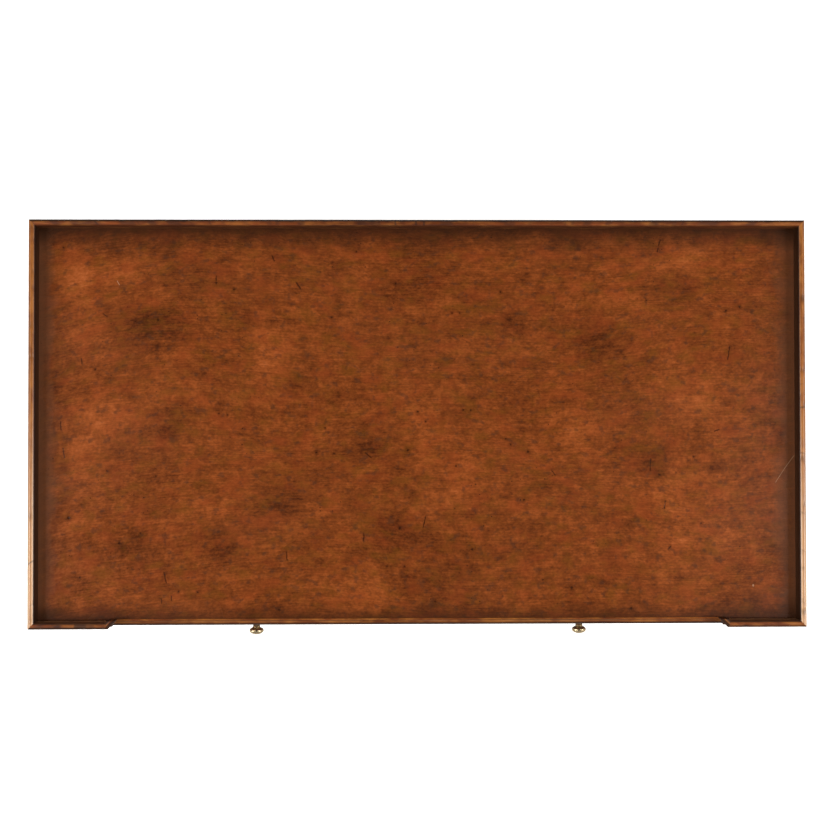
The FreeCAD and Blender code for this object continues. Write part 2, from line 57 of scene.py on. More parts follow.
# %% [markdown]
# ## Measure before cutting
#
# A maker takes sizes off the job, not off a list. The outline of the top, the height of the writing
# surface and the thickness of the rails are all read from the frame, so that everything made here
# lands where the construction says. Only the small sizes inside a moulding are written down.

# %% Sizes of the top
panel_low, panel_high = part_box("top_panel")
back_low, back_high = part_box("gallery_back")
corner_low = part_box("gallery_front_right")[0]
lip_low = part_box("front_lip")[0]

surface = panel_high.z
panel_thickness = panel_high.z - panel_low.z
rail_thickness = back_high.y - back_low.y
gallery_height = back_high.z - surface
half_width = back_high.x
back_edge = back_high.y
corner_edge = corner_low.y
middle_edge = lip_low.y
cant_start = corner_low.x
cant_angle = math.radians(45)


def plan(inset):
    """Corners of the top, that far inside its edge, from the back right one round to the back left."""
    lean = inset * math.tan(cant_angle / 2)
    step = middle_edge - corner_edge
    front = corner_edge + inset
    turn = cant_start + lean
    side = half_width - inset
    right = [(side, back_edge - inset), (side, front), (turn, front), (turn - step, front + step)]
    left = [(-x, y) for x, y in reversed(right)]
    return [Vector((x, y, 0)) for x, y in right + left]


print("surface", round(surface, 4), "rail", round(rail_thickness, 4))
print("step at the corners", round(middle_edge - corner_edge, 4))

# %% [markdown]
# ## The camera
#
# The photographer hung the camera over the middle of the table, about two and a half metres up, and
# not quite level: the far edge is a little shorter than the near one. The place, the two small tilts
# and the lens were worked out from the table's outline in the picture. The same lens also tells where
# a mark in the picture lies on the real top, so the helper for that is made here too.

# %% Camera over the table
PHOTO_SIDE = 840
LENS_PIXELS = 1344
SENSOR = 36
CAMERA_HEIGHT = 2.5
off_middle = Vector((-0.0402, -0.0361, 0))
tilt_back = 0.01703
tilt_sideways = 0.01704
camera_roll = 0.00113

half_photo = PHOTO_SIDE / 2
middle_of_top = Vector((0, (back_edge + corner_edge) / 2, surface + gallery_height))
camera_place = middle_of_top + off_middle + Vector((0, 0, CAMERA_HEIGHT))


def placed(name, data):
    """A new object of that name, put into the scene."""
    made = bpy.data.objects.new(name, data)
    bpy.context.scene.collection.objects.link(made)
    return made


camera_data = bpy.data.cameras.new("overhead_camera")
camera_data.sensor_width = SENSOR
camera_data.lens = LENS_PIXELS / PHOTO_SIDE * SENSOR
camera = placed("overhead_camera", camera_data)
camera.location = camera_place
camera.rotation_mode = "ZYX"
camera.rotation_euler = (tilt_back, -tilt_sideways, -camera_roll)
bpy.context.scene.camera = camera


def on_the_top(across, down):
    """The place on the writing surface that shows at that pixel of the photograph."""
    ray = Vector(((across - half_photo) / LENS_PIXELS, (half_photo - down) / LENS_PIXELS, -1))
    ray = camera.rotation_euler.to_matrix() @ ray
    return camera_place + ray * ((surface - camera_place.z) / ray.z)


print("lens", round(camera_data.lens, 2))
print("centre of the picture", [round(c, 3) for c in on_the_top(half_photo, half_photo)])

# %% [markdown]
# ## A bench for mixing finishes
#
# A finish on wood is made of layers: the wood's own grain, a stain that soaks in unevenly, dark glaze
# left in the corners, and edges rubbed pale by hands. Each layer is a few shader nodes. They could be
# wired one by one, but a small class that adds nodes by name and hands back their outputs lets the
# finishes below read like recipes. The sky is mixed on the same bench.

# %% Mixing bench


def paint(red, green, blue):
    """A colour as a painter reads it off a screen, turned into the light that it stands for."""
    def linear(value):
        share = value / 255
        return share / 12.92 if share <= 0.04045 else ((share + 0.055) / 1.055) ** 2.4

    return linear(red), linear(green), linear(blue), 1.0


class Bench:
    """Adds nodes to a tree. Each method gives back the output of what it added."""

    def __init__(self, tree):
        self.tree = tree

    def feed(self, socket, value):
        if isinstance(value, bpy.types.NodeSocket):
            self.tree.links.new(value, socket)
        else:
            socket.default_value = value

    def add(self, kind, inputs, output=0, **settings):
        made = self.tree.nodes.new("ShaderNode" + kind)
        for name, value in settings.items():
            setattr(made, name, value)
        for key, value in inputs.items():
            self.feed(made.inputs[key], value)
        return made.outputs[output]

    def maths(self, operation, first, second=0.0, clamp=False):
        return self.add("Math", {0: first, 1: second}, operation=operation, use_clamp=clamp)

    def plus(self, first, second, clamp=False):
        return self.maths("ADD", first, second, clamp)

    def minus(self, first, second):
        return self.maths("SUBTRACT", first, second)

    def times(self, first, second):
        return self.maths("MULTIPLY", first, second)

    def larger(self, first, second):
        return self.maths("MAXIMUM", first, second)

    def off(self, value, middle):
        """How far the value is from the middle."""
        return self.maths("ABSOLUTE", self.minus(value, middle))

    def between(self, value, low, high, start=0.0, end=1.0, smooth=False):
        """The value from low to high, carried over to start to end and held there."""
        inputs = {"Value": value, "From Min": low, "From Max": high, "To Min": start, "To Max": end}
        kind = "SMOOTHSTEP" if smooth else "LINEAR"
        return self.add("MapRange", inputs, interpolation_type=kind, clamp=True)

    def watched(self):
        """(1 where the camera looks, 1 where something is seen in a mirror or through glass)."""
        path = self.tree.nodes.new("ShaderNodeLightPath").outputs
        return path["Is Camera Ray"], self.larger(path["Is Glossy Ray"], path["Is Transmission Ray"])


print("a middle brown as light", [round(c, 3) for c in paint(117, 57, 21)[:3]])

# %% [markdown]
# ## A finish, coat upon coat
#
# A painter keeps one board and lays coat after coat on it. The class for a finish does the same: it
# remembers the colour so far, and each coat covers it where its own mask is high. The masks come from
# soft clouds, from specks, or from values stored on the mesh. All are measured in metres on the piece
# itself, so a pore is as long on a leg as on a rail.

# %% A finish in the making


class Finish(Bench):
    """One finish, laid on coat upon coat."""

    def __init__(self, name):
        self.material = bpy.data.materials.new(name)
        self.material.use_nodes = True
        super().__init__(self.material.node_tree)
        self.shader = self.tree.nodes["Principled BSDF"]
        self.place = self.add("TexCoord", {}, output="Object")
        self.colour = None

    def stretch(self, place, scale, turn=0.0, shift=(0, 0, 0)):
        """The same place measured in other units, after a turn about the upright axis."""
        inputs = {"Vector": place, "Scale": scale, "Rotation": (0, 0, turn), "Location": shift}
        return self.add("Mapping", inputs)

    def cloud(self, place, scale, detail=3.0, rough=0.5, shift=(0, 0, 0)):
        """Soft random patches, about one to each unit of the stretched place."""
        stretched = self.stretch(place, scale, shift=shift)
        inputs = {"Vector": stretched, "Detail": detail, "Roughness": rough, "Scale": 1.0}
        return self.add("TexNoise", inputs)

    def clouded(self, place, tone, clouds):
        """The tone, with clouds over it. Each cloud is (scale, detail, roughness, weight)."""
        for scale, detail, rough, weight in clouds:
            cloud = self.minus(self.cloud(place, scale, detail, rough), 0.5)
            tone = self.plus(tone, self.times(cloud, weight))
        return tone

    def specks(self, place, scale, size, rarity):
        """Small round or long specks. Only the cells whose own number is above the rarity have one."""
        cell = self.tree.nodes.new("ShaderNodeTexVoronoi")
        cell.inputs["Scale"].default_value = 1.0
        self.feed(cell.inputs["Vector"], self.stretch(place, scale))
        near = self.between(cell.outputs["Distance"], size, size * 0.4)
        chosen = self.between(self.red(cell.outputs["Color"]), rarity, rarity + 0.02)
        return self.times(near, chosen)

    def red(self, colour):
        return self.add("SeparateColor", {"Color": colour})

    def axis(self, name):
        return self.add("SeparateXYZ", {"Vector": self.place}, output="XYZ".index(name))

    def attribute(self, name):
        return self.add("Attribute", {}, output="Fac", attribute_name=name)

    def tones(self, value, stops):
        """A scale of colours: stops are (place, colour)."""
        made = self.tree.nodes.new("ShaderNodeValToRGB")
        points = made.color_ramp.elements
        points[0].position, points[0].color = stops[0]
        points[1].position, points[1].color = stops[-1]
        for position, colour in stops[1:-1]:
            points.new(position).color = colour
        self.feed(made.inputs["Fac"], value)
        return made.outputs["Color"]

    def coat(self, amount, *colour):
        """A colour laid over what is there, where the amount is high."""
        layers = {0: amount, 6: self.colour, 7: paint(*colour)}
        self.colour = self.add("Mix", layers, output=2, data_type="RGBA")

    def relief(self, height, depth):
        """Small ups and downs, with the real depth of the layer in metres."""
        inputs = {"Height": height, "Distance": depth, "Strength": 1.0}
        return self.add("Bump", inputs, output="Normal")

    def done(self, roughness, normal=None, **fixed):
        self.feed(self.shader.inputs["Base Color"], self.colour)
        self.feed(self.shader.inputs["Roughness"], roughness)
        if normal is not None:
            self.feed(self.shader.inputs["Normal"], normal)
        for name, value in fixed.items():
            self.shader.inputs[name.replace("_", " ")].default_value = value
        print("finish", self.material.name, "in", len(self.tree.nodes), "nodes")
        return self.material


print("a finish can be given", ", ".join(name for name in vars(Finish) if name[0] != "_"))


# %% [markdown]
# ## The veneer of the top
#
# Cherry takes stain in clouds, because its grain swirls, and the maker of this finish helped that
# along: warm orange where the rag rubbed, umber where glaze was left, nearly black against the rails.
# Beside the end rails a paler, greyer tone is painted into their shadow as painted fill light.
# The clouds could be painted as a picture, but then they would end at its edge and blur close up. Here
# they are mixed from soft noise at four sizes, all stretched along the grain.

# %% Stained cherry for the writing surface
GRAIN_WANDER = 0.09
LEFT_TURN = 0.035
MIDDLE_TONE = 0.508
PORE_SIZE = 0.32
PORE_STRENGTH = 0.4
# Each cloud in the stain is (scale along, across and through the board, detail, roughness, weight)
VENEER_CLOUDS = [
    ((14, 20, 1), 2.0, 0.5, 0.24),
    ((30, 42, 1), 1.0, 0.5, 0.28),
    ((64, 88, 1), 1.0, 0.5, 0.34),
    ((7, 280, 1), 2.0, 0.5, 0.17),
    ((26, 480, 1), 2.0, 0.55, 0.3),
    ((170, 260, 1), 2.0, 0.6, 0.48),
]


def stain_scale(finish, tone):
    """The stain's colours, from glaze left in a hollow to wood rubbed nearly clean."""
    stops = [
        (0.0, paint(34, 15, 6)),
        (0.25, paint(76, 34, 11)),
        (0.5, paint(117, 57, 21)),
        (0.72, paint(151, 76, 32)),
        (1.0, paint(186, 100, 52)),
    ]
    return finish.tones(tone, stops)


def swirled(finish):
    """The place, bent so that the grain wanders and turns upward toward the left end."""
    wander = finish.minus(finish.cloud(finish.place, (1.6, 3.5, 1), 1.0), 0.5)
    reach = finish.between(finish.axis("X"), -0.42, -0.72)
    bend = finish.times(finish.times(reach, reach), LEFT_TURN)
    rise = finish.plus(finish.times(wander, GRAIN_WANDER), bend)
    upward = finish.add("CombineXYZ", {"Y": rise})
    return finish.add("VectorMath", {0: finish.place, 1: upward}, operation="ADD")


def edge_glaze(finish):
    """How much paler tone is painted into the shadow beside the end rails, as painted fill light, and how
    much glaze lies by the back, the front and the ends. Its limit is ragged.
    """
    ragged = finish.cloud(finish.place, (14, 14, 1), 3.0, 0.6)
    waver = finish.between(ragged, 0.3, 0.7, 0.55, 1.55)
    across, along = finish.axis("X"), finish.axis("Y")
    inner_side = half_width - rail_thickness
    from_left = finish.plus(across, inner_side)
    from_right = finish.minus(inner_side, across)
    from_back = finish.minus(back_edge - rail_thickness, along)
    from_lip = finish.minus(along, middle_edge + rail_thickness)
    from_corner = finish.minus(along, corner_edge + rail_thickness)
    past_cant = finish.minus(cant_start, finish.maths("ABSOLUTE", across))
    by_the_rail = finish.between(from_corner, 0.0, 12 * MM, 0.1)
    by_the_cant = finish.between(past_cant, -20 * MM, 0.0)
    corner_strength = finish.times(finish.larger(by_the_rail, by_the_cant), 0.4)
    # Each is (distance from a rail, how far the layer reaches, how strong it is beside the rail).
    # The first list lays painted fill light into the end rails' shadows, the second lays glaze.
    ends = [(from_left, 0.034, 0.85), (from_right, 0.036, 0.8)]
    edges = [
        (from_back, 0.042, 0.88),
        (from_lip, 0.03, 0.68),
        (finish.larger(from_corner, past_cant), 0.05, corner_strength),
        (from_left, 0.06, 0.16),
        (from_right, 0.1, 0.16),
    ]
    amounts = []
    for rails in (ends, edges):
        clear = 1.0
        for distance, width, strength in rails:
            share = finish.maths("DIVIDE", distance, finish.times(waver, width))
            left = finish.between(share, 0.0, 1.0, strength, 0.0)
            clear = finish.times(clear, finish.minus(1.0, left))
        amounts.append(finish.minus(1.0, clear))
    return amounts


def dark_pores(finish, place, scale, rarity):
    """Short pores along the grain, filled with stain."""
    pores = finish.specks(place, scale, PORE_SIZE, rarity)
    finish.coat(finish.times(pores, PORE_STRENGTH), 50, 25, 13)


def cherry_top():
    finish = Finish("stained_cherry_top")
    place = swirled(finish)
    tone = finish.plus(finish.attribute("stain_cloud"), MIDDLE_TONE)
    finish.colour = stain_scale(finish, finish.clouded(place, tone, VENEER_CLOUDS))
    olive = finish.cloud(place, (26, 44, 1), 3.0, 0.6, (3, 5, 0))
    finish.coat(finish.between(olive, 0.5, 0.68, 0.0, 0.4), 112, 66, 16)
    rosy = finish.cloud(place, (22, 36, 1), 2.0, 0.5, (8, 1, 0))
    finish.coat(finish.between(rosy, 0.5, 0.7, 0.0, 0.4), 142, 62, 26)
    smudge = finish.cloud(place, (64, 84, 1), 2.0, 0.55, (7, 2, 0))
    finish.coat(finish.between(smudge, 0.55, 0.72, 0.0, 0.5, smooth=True), 72, 43, 27)
    # A paler, greyer tone is painted into the shadow beside the end rails as painted fill light; dark
    # glaze lies along all the rails.
    painted_fill_in_end_shadows, along_edges = edge_glaze(finish)
    finish.coat(painted_fill_in_end_shadows, 130, 82, 54)
    finish.coat(along_edges, 44, 25, 14)
    dark_pores(finish, place, (120, 1100, 1), 0.6)
    crowd = finish.between(finish.cloud(finish.place, (8, 8, 1), 2.0), 0.48, 0.62)
    fly_specks = finish.specks(finish.place, (130, 150, 1), 0.2, 0.86)
    finish.coat(finish.times(fly_specks, crowd), 30, 15, 9)
    # On the top board this holds only the wax in the marks.
    finish.coat(finish.attribute("wax_and_painted_shade"), 36, 13, 2)
    finish.coat(finish.attribute("pale_scratch"), 202, 158, 122)
    shine = finish.cloud(finish.place, (5, 9, 1), 3.0)
    roughness = finish.between(shine, 0.3, 0.7, 0.22, 0.32)
    normal = finish.relief(finish.cloud(place, (40, 900, 1), 3.0), 0.00003)
    return finish.done(roughness, normal, Specular_IOR_Level=0.16)


cherry_top_finish = cherry_top()

# %% [markdown]
# ## The finish on rails, legs and fronts
#
# The solid parts are the same cherry under the same stain, but grain runs along each piece and every
# rounded edge has been rubbed until gold shows through. The recipe takes the direction of the grain,
# so one function serves legs, rails and aprons. Where glaze gathers and where a hand has rubbed is not
# part of the wood, so it comes in as two more recipes, for the hollows and for the crest. On the
# mouldings these also carry painted shade in the hollows and painted highlights and light on the crest.

# %% Stained cherry along a chosen direction
SOLID_TONE = 0.47
# Each cloud is (scale along, across and through the grain, detail, roughness, weight)
SOLID_CLOUDS = [
    ((5, 14, 14), 2.0, 0.5, 0.34),
    ((2.5, 75, 75), 2.0, 0.55, 0.42),
    ((22, 60, 60), 3.0, 0.55, 0.26),
    ((8, 260, 260), 3.0, 0.6, 0.3),
    ((40, 1200, 1200), 2.0, 0.6, 0.2),
]


def along_grain(finish, direction):
    """The place with X along the grain. The direction is X, Y, Z or an angle in plan."""
    if direction == "Z":
        x, y, z = (finish.axis(name) for name in "XYZ")
        return finish.add("CombineXYZ", {"X": z, "Y": x, "Z": y})
    turns = {"X": 0.0, "Y": math.pi / 2}
    return finish.stretch(finish.place, (1, 1, 1), turns.get(direction, direction))


def cherry_solid(name, direction, worn=0.0, hollows=None, gloss=0.35, crest=None):
    """Stained cherry. Worn is how far the stain is rubbed through in patches. Hollows say where glaze
    lies, and on the mouldings where shade is painted; crest says where hands have rubbed and where
    highlights and light are painted pale."""
    finish = Finish(name)
    place = along_grain(finish, direction)
    finish.colour = stain_scale(finish, finish.clouded(place, SOLID_TONE, SOLID_CLOUDS))
    patchy = finish.cloud(place, (30, 90, 90), 3.0, 0.6)
    rubbed = finish.between(patchy, 0.62 - 0.5 * worn, 0.8 - 0.3 * worn, 0.0, 0.25 + 0.65 * worn)
    finish.coat(rubbed, 186, 116, 46)
    # The pale crest colour is rubbed wear on the lip, and painted highlight and painted light on the
    # rails.
    if crest is not None:
        finish.coat(crest(finish), 228, 180, 134)
    smooth = 0.34 - 0.14 * gloss
    roughness = finish.between(patchy, 0.3, 0.7, smooth, smooth + 0.1)
    if hollows is not None:
        # On the mouldings the hollows also hold painted shade.
        glaze = hollows(finish)
        finish.coat(glaze, 34, 16, 6)
        roughness = finish.plus(roughness, finish.times(glaze, 0.5 - gloss))
    dark_pores(finish, place, (120, 1100, 1100), 0.7)
    finish.coat(finish.specks(finish.place, (60, 60, 60), 0.12, 0.9), 30, 16, 10)
    normal = finish.relief(finish.cloud(place, (40, 900, 900), 2.0), 0.000015)
    return finish.done(roughness, normal, Specular_IOR_Level=gloss)


cherry = {
    "along": cherry_solid("stained_cherry_along", "X"),
    "side": cherry_solid("stained_cherry_side", "Y"),
    "upright": cherry_solid("stained_cherry_upright", "Z"),
    "rubbed": cherry_solid("rubbed_cherry", "X", 0.5),
}

# %% [markdown]
# ## Glaze, wear and painted light on the mouldings
#
# A finisher wipes a dark glaze over a moulding and off again, and what stays is in the hollows: the
# neck under the bead, the cove, the quirk. The crest of the lip's nose is rubbed pale by wrists. Shade
# is painted under the lip's nose and over the canted rails, which keep a lighter line on the crown as a
# painted highlight; the side rails' shoulders carry pale wear with a painted highlight, and the corner
# rails' inner walls are painted lighter as painted light. Every mask here is measured from the
# moulding's own height or from its distance to the edge, so it stays on its line all along the rail.

# %% Where glaze and painted shade lie, where hands have rubbed, and where light is painted
crown_height = surface + gallery_height
rail_middle = rail_thickness / 2
# Each is (share of the rail's height, strength of the glaze there)
GLAZE_BY_HEIGHT = [
    (0.0, 0.75), (0.18, 0.55), (0.28, 0.05), (0.4, 0.1), (0.47, 0.75), (0.6, 0.45), (0.8, 0.7),
    (0.88, 0.1),
]


def gallery_hollows(finish):
    """Glaze in the neck and cove of a gallery rail by height, and the mesh's own mark, which holds glaze
    and painted shade.
    """
    height = finish.minus(finish.axis("Z"), surface)
    share = finish.between(height, -panel_thickness, gallery_height)
    greys = [(place, (grey, grey, grey, 1)) for place, grey in GLAZE_BY_HEIGHT]
    by_height = finish.red(finish.tones(share, greys))
    broken = finish.cloud(finish.place, (30, 30, 70), 3.0, 0.6)
    by_height = finish.times(by_height, finish.between(broken, 0.35, 0.6, 0.5))
    outward = finish.between(finish.attribute("inner_side"), 0, 1, 1.0, 0.2)
    return finish.larger(finish.times(by_height, outward), finish.attribute("wax_and_painted_shade"))


def lip_hollows(finish):
    """Glaze in the quirk behind the nose of the front lip, and painted shade from the nose's turn down
    into the cove.
    """
    off_quirk = finish.off(finish.axis("Y"), middle_edge + rail_thickness - 4 * MM)
    in_quirk = finish.between(off_quirk, 1.1 * MM, 0.5 * MM, 0.0, 0.2)
    under_nose_shade = finish.between(finish.axis("Z"), surface - 0.6 * MM, surface - 2.2 * MM, 0.0, 0.86)
    return finish.larger(in_quirk, under_nose_shade)


def nose_rub(finish):
    """Wear along the highest line of the front lip's nose, where hands rest."""
    off_crest = finish.off(finish.axis("Y"), middle_edge + rail_middle + 1.6 * MM)
    patchy = finish.between(finish.cloud(finish.place, (22, 22, 22), 2.0), 0.35, 0.65, 0.0, 0.12)
    return finish.times(patchy, finish.between(off_crest, 0.4 * MM, 2.0 * MM, 1.0, 0.0))


def inner_rub(finish):
    """A lighter tone painted on the inner wall of the corner rails, as painted light on a wall that the
    lamps leave in shade.
    """
    below_bead = finish.between(finish.axis("Z"), surface + 28 * MM, surface + 18 * MM, 0.0, 0.3)
    return finish.times(below_bead, finish.attribute("inner_side"))


def sleeve_rub(finish):
    """Pale colour on both shoulders of the bead, strongest toward the front of each end rail: partly
    wear, partly painted highlight where the side lamps shine, with a darker gap at the crown between.
    """
    toward_front = finish.between(finish.axis("Y"), 0.08, -0.28, 0.0, 0.95, smooth=True)
    near_crown = finish.between(finish.axis("Z"), crown_height - 5 * MM, crown_height - 2 * MM)
    inset = finish.minus(half_width, finish.maths("ABSOLUTE", finish.axis("X")))
    shoulder = finish.between(finish.off(inset, rail_middle), 0.5 * MM, 1.9 * MM, 0.2)
    return finish.times(finish.times(toward_front, near_crown), shoulder)


def cant_hollows(finish):
    """Dark glaze and painted shade all over the short canted rails, but for a lighter line along the
    crown of the bead, a painted highlight.
    """
    reach = finish.plus(finish.maths("ABSOLUTE", finish.axis("X")), finish.axis("Y"))
    inset = finish.times(finish.minus(reach, cant_start + corner_edge), math.sqrt(0.5))
    off_crown = finish.off(inset, rail_middle + 0.5 * MM)
    beside = finish.between(off_crown, 0.6 * MM, 1.6 * MM, 0.25, 0.88)
    return finish.larger(beside, gallery_hollows(finish))


# Each is (name, grain, how worn, hollows, gloss, crest)
mouldings = {
    "rail_along": ("gallery_cherry_along", "X", 0.32, gallery_hollows, 0.25),
    "rail_side": ("gallery_cherry_side", "Y", 0.75, gallery_hollows, 0.45, sleeve_rub),
    "rail_corner": ("gallery_cherry_corner", "X", 0.45, gallery_hollows, 0.3, inner_rub),
    "rail_cant": ("gallery_cherry_cant", math.pi / 4, 0.5, cant_hollows, 0.2),
    "lip": ("lip_cherry", "X", 0.42, lip_hollows, 0.2, nose_rub),
}
cherry.update({key: cherry_solid(*recipe) for key, recipe in mouldings.items()})

# %% [markdown]
# ## Raw wood inside
#
# Nobody stains what nobody sees. Runners, braces and buttons are a pale tulipwood with a green-brown
# cast, and the drawer boxes are a yellower maple with a thin plywood bottom. A plain pale colour would
# look like plastic, so each has its grain, its darker streaks and the grey of fifty years of dust.

# %% Raw woods


def raw_wood(name, direction, pale, dark):
    """Bare wood with its growth rings, fibres and pores, and dust on it."""
    finish = Finish(name)
    place = along_grain(finish, direction)
    growth = finish.cloud(place, (2.5, 50, 50), 3.0, 0.6)
    fibre = finish.cloud(place, (18, 700, 700), 3.0, 0.6)
    tone = finish.plus(finish.times(growth, 0.5), finish.times(fibre, 0.5))
    finish.colour = finish.tones(tone, [(0.3, dark), (0.5, pale), (0.75, pale)])
    dust = finish.cloud(finish.place, (12, 12, 12), 3.0, 0.6)
    finish.coat(finish.between(dust, 0.45, 0.75, 0.0, 0.35), 112, 92, 70)
    pores = finish.specks(place, (90, 900, 900), 0.3, 0.75)
    finish.coat(finish.times(pores, 0.3), 96, 66, 40)
    return finish.done(finish.between(growth, 0.3, 0.7, 0.55, 0.72), finish.relief(fibre, 0.00008))


tulipwood = (paint(196, 168, 122), paint(158, 126, 84))
maple = (paint(214, 178, 122), paint(180, 138, 88))
raw = {
    "along": raw_wood("frame_wood_along", "X", *tulipwood),
    "side": raw_wood("frame_wood_side", "Y", *tulipwood),
    "box_side": raw_wood("drawer_wood_side", "Y", *maple),
    "box_along": raw_wood("drawer_wood_along", "X", *maple),
}

# %% [markdown]
# ## Brass, steel and nylon
#
# The knobs were polished once and then left. Skin oil keeps the round of the head bright while the
# waist goes brown, so the colour follows the distance from the drawer's face as well as soft patches.
# Metal has no colour of its own beneath the shine, so the tarnish also has to be rougher.

# %% Metals and glides
knob_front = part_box("drawer_left_knob")[0].y


def aged_brass():
    finish = Finish("aged_brass")
    patina = finish.cloud(finish.place, (130, 130, 130), 4.0, 0.6)
    neck = finish.between(finish.axis("Y"), knob_front + 11 * MM, knob_front + 16 * MM, 0.0, 0.25)
    amount = finish.plus(finish.between(patina, 0.4, 0.7, 0.05, 0.5), neck, clamp=True)
    finish.colour = paint(206, 184, 146)
    finish.coat(amount, 90, 70, 46)
    spots = finish.specks(finish.place, (420, 420, 420), 0.22, 0.8)
    finish.coat(finish.times(spots, 0.7), 40, 28, 18)
    roughness = finish.between(amount, 0.0, 1.0, 0.28, 0.5)
    return finish.done(roughness, finish.relief(patina, 0.00006), Metallic=1.0)


def worked_steel():
    finish = Finish("steel_fixings")
    rust = finish.cloud(finish.place, (260, 260, 260), 4.0, 0.6)
    bright, dull, rusty = paint(150, 148, 142), paint(108, 100, 92), paint(88, 60, 42)
    finish.colour = finish.tones(rust, [(0.42, bright), (0.58, dull), (0.75, rusty)])
    return finish.done(finish.between(rust, 0.35, 0.7, 0.3, 0.6), Metallic=0.9)


def dark_nylon():
    finish = Finish("dark_nylon")
    scuff = finish.cloud(finish.place, (300, 300, 300), 4.0, 0.6)
    finish.colour = finish.tones(scuff, [(0.4, paint(34, 30, 27)), (0.7, paint(70, 64, 58))])
    return finish.done(finish.between(scuff, 0.3, 0.7, 0.4, 0.65), finish.relief(scuff, 0.0001))


brass = aged_brass()
steel = worked_steel()
nylon = dark_nylon()

# %% [markdown]
# ## Mouldings run through the mitres
#
# A real gallery rail is a length of moulding, shaped with a plane or a cutter and sawn at the corners.
# The same is done here: one section, a bead on a neck over the table's nose, is carried between two
# corners of the plan, and each end stops on the mitre line. It could be one bar swept round the whole
# top, but seven pieces come apart on the bench as the real ones do.

# %% Section of the gallery rail
overhang = 8 * MM
neck_recess = 2.2 * MM
nose_drop = 0.6 * MM
nose_radius = 8.3 * MM
under_angle = math.radians(45)
fillet_width = 0.8 * MM
fillet_height = 1.6 * MM
cove_share = 0.8
tongue_drop = 8 * MM
tongue_thickness = 6 * MM
tongue_length = 4.5 * MM
tongue_play = 0.5 * MM
QUARTER_STEPS = 8
BEAD_STEPS = 40
NOSE_STEPS = 16


def arc(centre, radius, start, end, count):
    """Points round an arc. The angle is 0 at the outermost point and a right angle at the top."""
    turns = [start + (end - start) * index / count for index in range(count + 1)]
    return [(centre[0] - radius * math.cos(t), centre[1] + radius * math.sin(t)) for t in turns]


def quarter_curve(start, width, height):
    """Points of a quarter of an ellipse that leaves its start, a (distance, height), level."""
    turns = [math.pi / 2 * index / QUARTER_STEPS for index in range(1, QUARTER_STEPS + 1)]
    return [(start[0] + width * math.sin(t), start[1] + height * (1 - math.cos(t))) for t in turns]


def under_the_nose():
    """Fillet and cove, down to the frieze and back along the underside to the groove."""
    nose_middle = (nose_radius, -nose_drop - nose_radius)
    nose_end = arc(nose_middle, nose_radius, -under_angle, -under_angle, 1)[0]
    shelf = nose_end[0] + fillet_width
    cove_top = nose_end[1] - fillet_height
    depth = (panel_thickness + cove_top) * cove_share
    cove = quarter_curve((shelf, cove_top), overhang - shelf, -depth)
    groove_low = -tongue_drop - tongue_thickness
    groove_in = rail_thickness - tongue_length - tongue_play
    return [(shelf, nose_end[1]), (shelf, cove_top)] + cove + [
        (overhang, -panel_thickness),
        (rail_thickness, -panel_thickness),
        (rail_thickness, groove_low),
        (groove_in, groove_low),
        (groove_in, -tongue_drop),
        (rail_thickness, -tongue_drop),
    ]


def gallery_section():
    """The section as (distance in, height over the surface), from the inner side over the bead."""
    radius = rail_thickness / 2
    neck = math.acos((radius - neck_recess) / radius)
    rise = math.acos((nose_radius - neck_recess) / nose_radius)
    bead = arc((radius, gallery_height - radius), radius, math.pi, -neck, BEAD_STEPS)
    nose_middle = (nose_radius, -nose_drop - nose_radius)
    nose = arc(nose_middle, nose_radius, rise, -under_angle, NOSE_STEPS)
    wall = [(rail_thickness, (gallery_height - radius) * share) for share in (0.0, 0.3, 0.6)]
    return wall + bead + nose + under_the_nose()


print("points in the gallery's section", len(gallery_section()))

# %% [markdown]
# ## Wear and painted shade on the rails
#
# Sleeves and boxes have knocked this gallery for years. The bead is never quite straight, it has small
# bruises and fine nicks on its crown, and a shallow line is sunk along its outer shoulder and darkened.
# On the back rail and the left corner patches of glaze were never wiped off. The inner wall is darkened
# with glaze and painted shade together, and painted shade lies along the bead's outer edge. The depth
# is cut into the mesh, because light runs along a bead and shows every dip, and it only ever goes
# inward, so the rail stays inside the size that the frame gives it.

# %% Wear and painted shade at one spot of a rail
WAVE_DEPTH = 0.16 * MM
BRUISE_DEPTH = 0.75 * MM
LINE_DEPTH = 0.3 * MM
LINE_HALF_WIDTH = 1.8 * MM
LINE_TURN = math.radians(58)
NICK_DEPTH = 0.08 * MM
# Width and fade of the painted shade along the bead's outer edge, and fade of the inner wall's glaze and
# painted shade
OUTER_SHADE_WIDTH = 2.3 * MM
OUTER_SHADE_FADE = 0.5 * MM
INNER_GLAZE_AND_SHADE_FADE = 0.1
CROWN_MARGIN = 0.15
# How finely each kind of wear is strewn, in units to a metre
WAVES, BREAKS, PATCHES, BRUISES, NICKS = 14, 9, 45, 55, 300
# The value of the noise at which bruises and nicks begin, and how soon each kind is full
BRUISE_LIMIT, BRUISE_SPAN = 0.32, 0.4
NICK_LIMIT, NICK_GROWTH, PATCH_GROWTH = 0.5, 5, 3.5
# How dark each leaves the rail: the line where it is faint and what its flecks add, the glaze in bruises
# and nicks, and the painted shade along the outer edge
LINE_DARKNESS, LINE_FLECKS = 0.88, 0.12
BRUISE_GLAZE, NICK_GLAZE, OUTER_PAINTED_SHADE = 0.5, 0.85, 0.95
# Where in the noise each kind starts, so that no two kinds or rails are alike
BRUISE_START = Vector((3, 7, 1))
PATCH_START, NICK_START = 2.1, 4.3
BACK_START, SIDE_START = 7.7, 2.0


def held(value):
    """The value, kept between 0 and 1."""
    return max(0.0, min(1.0, value))


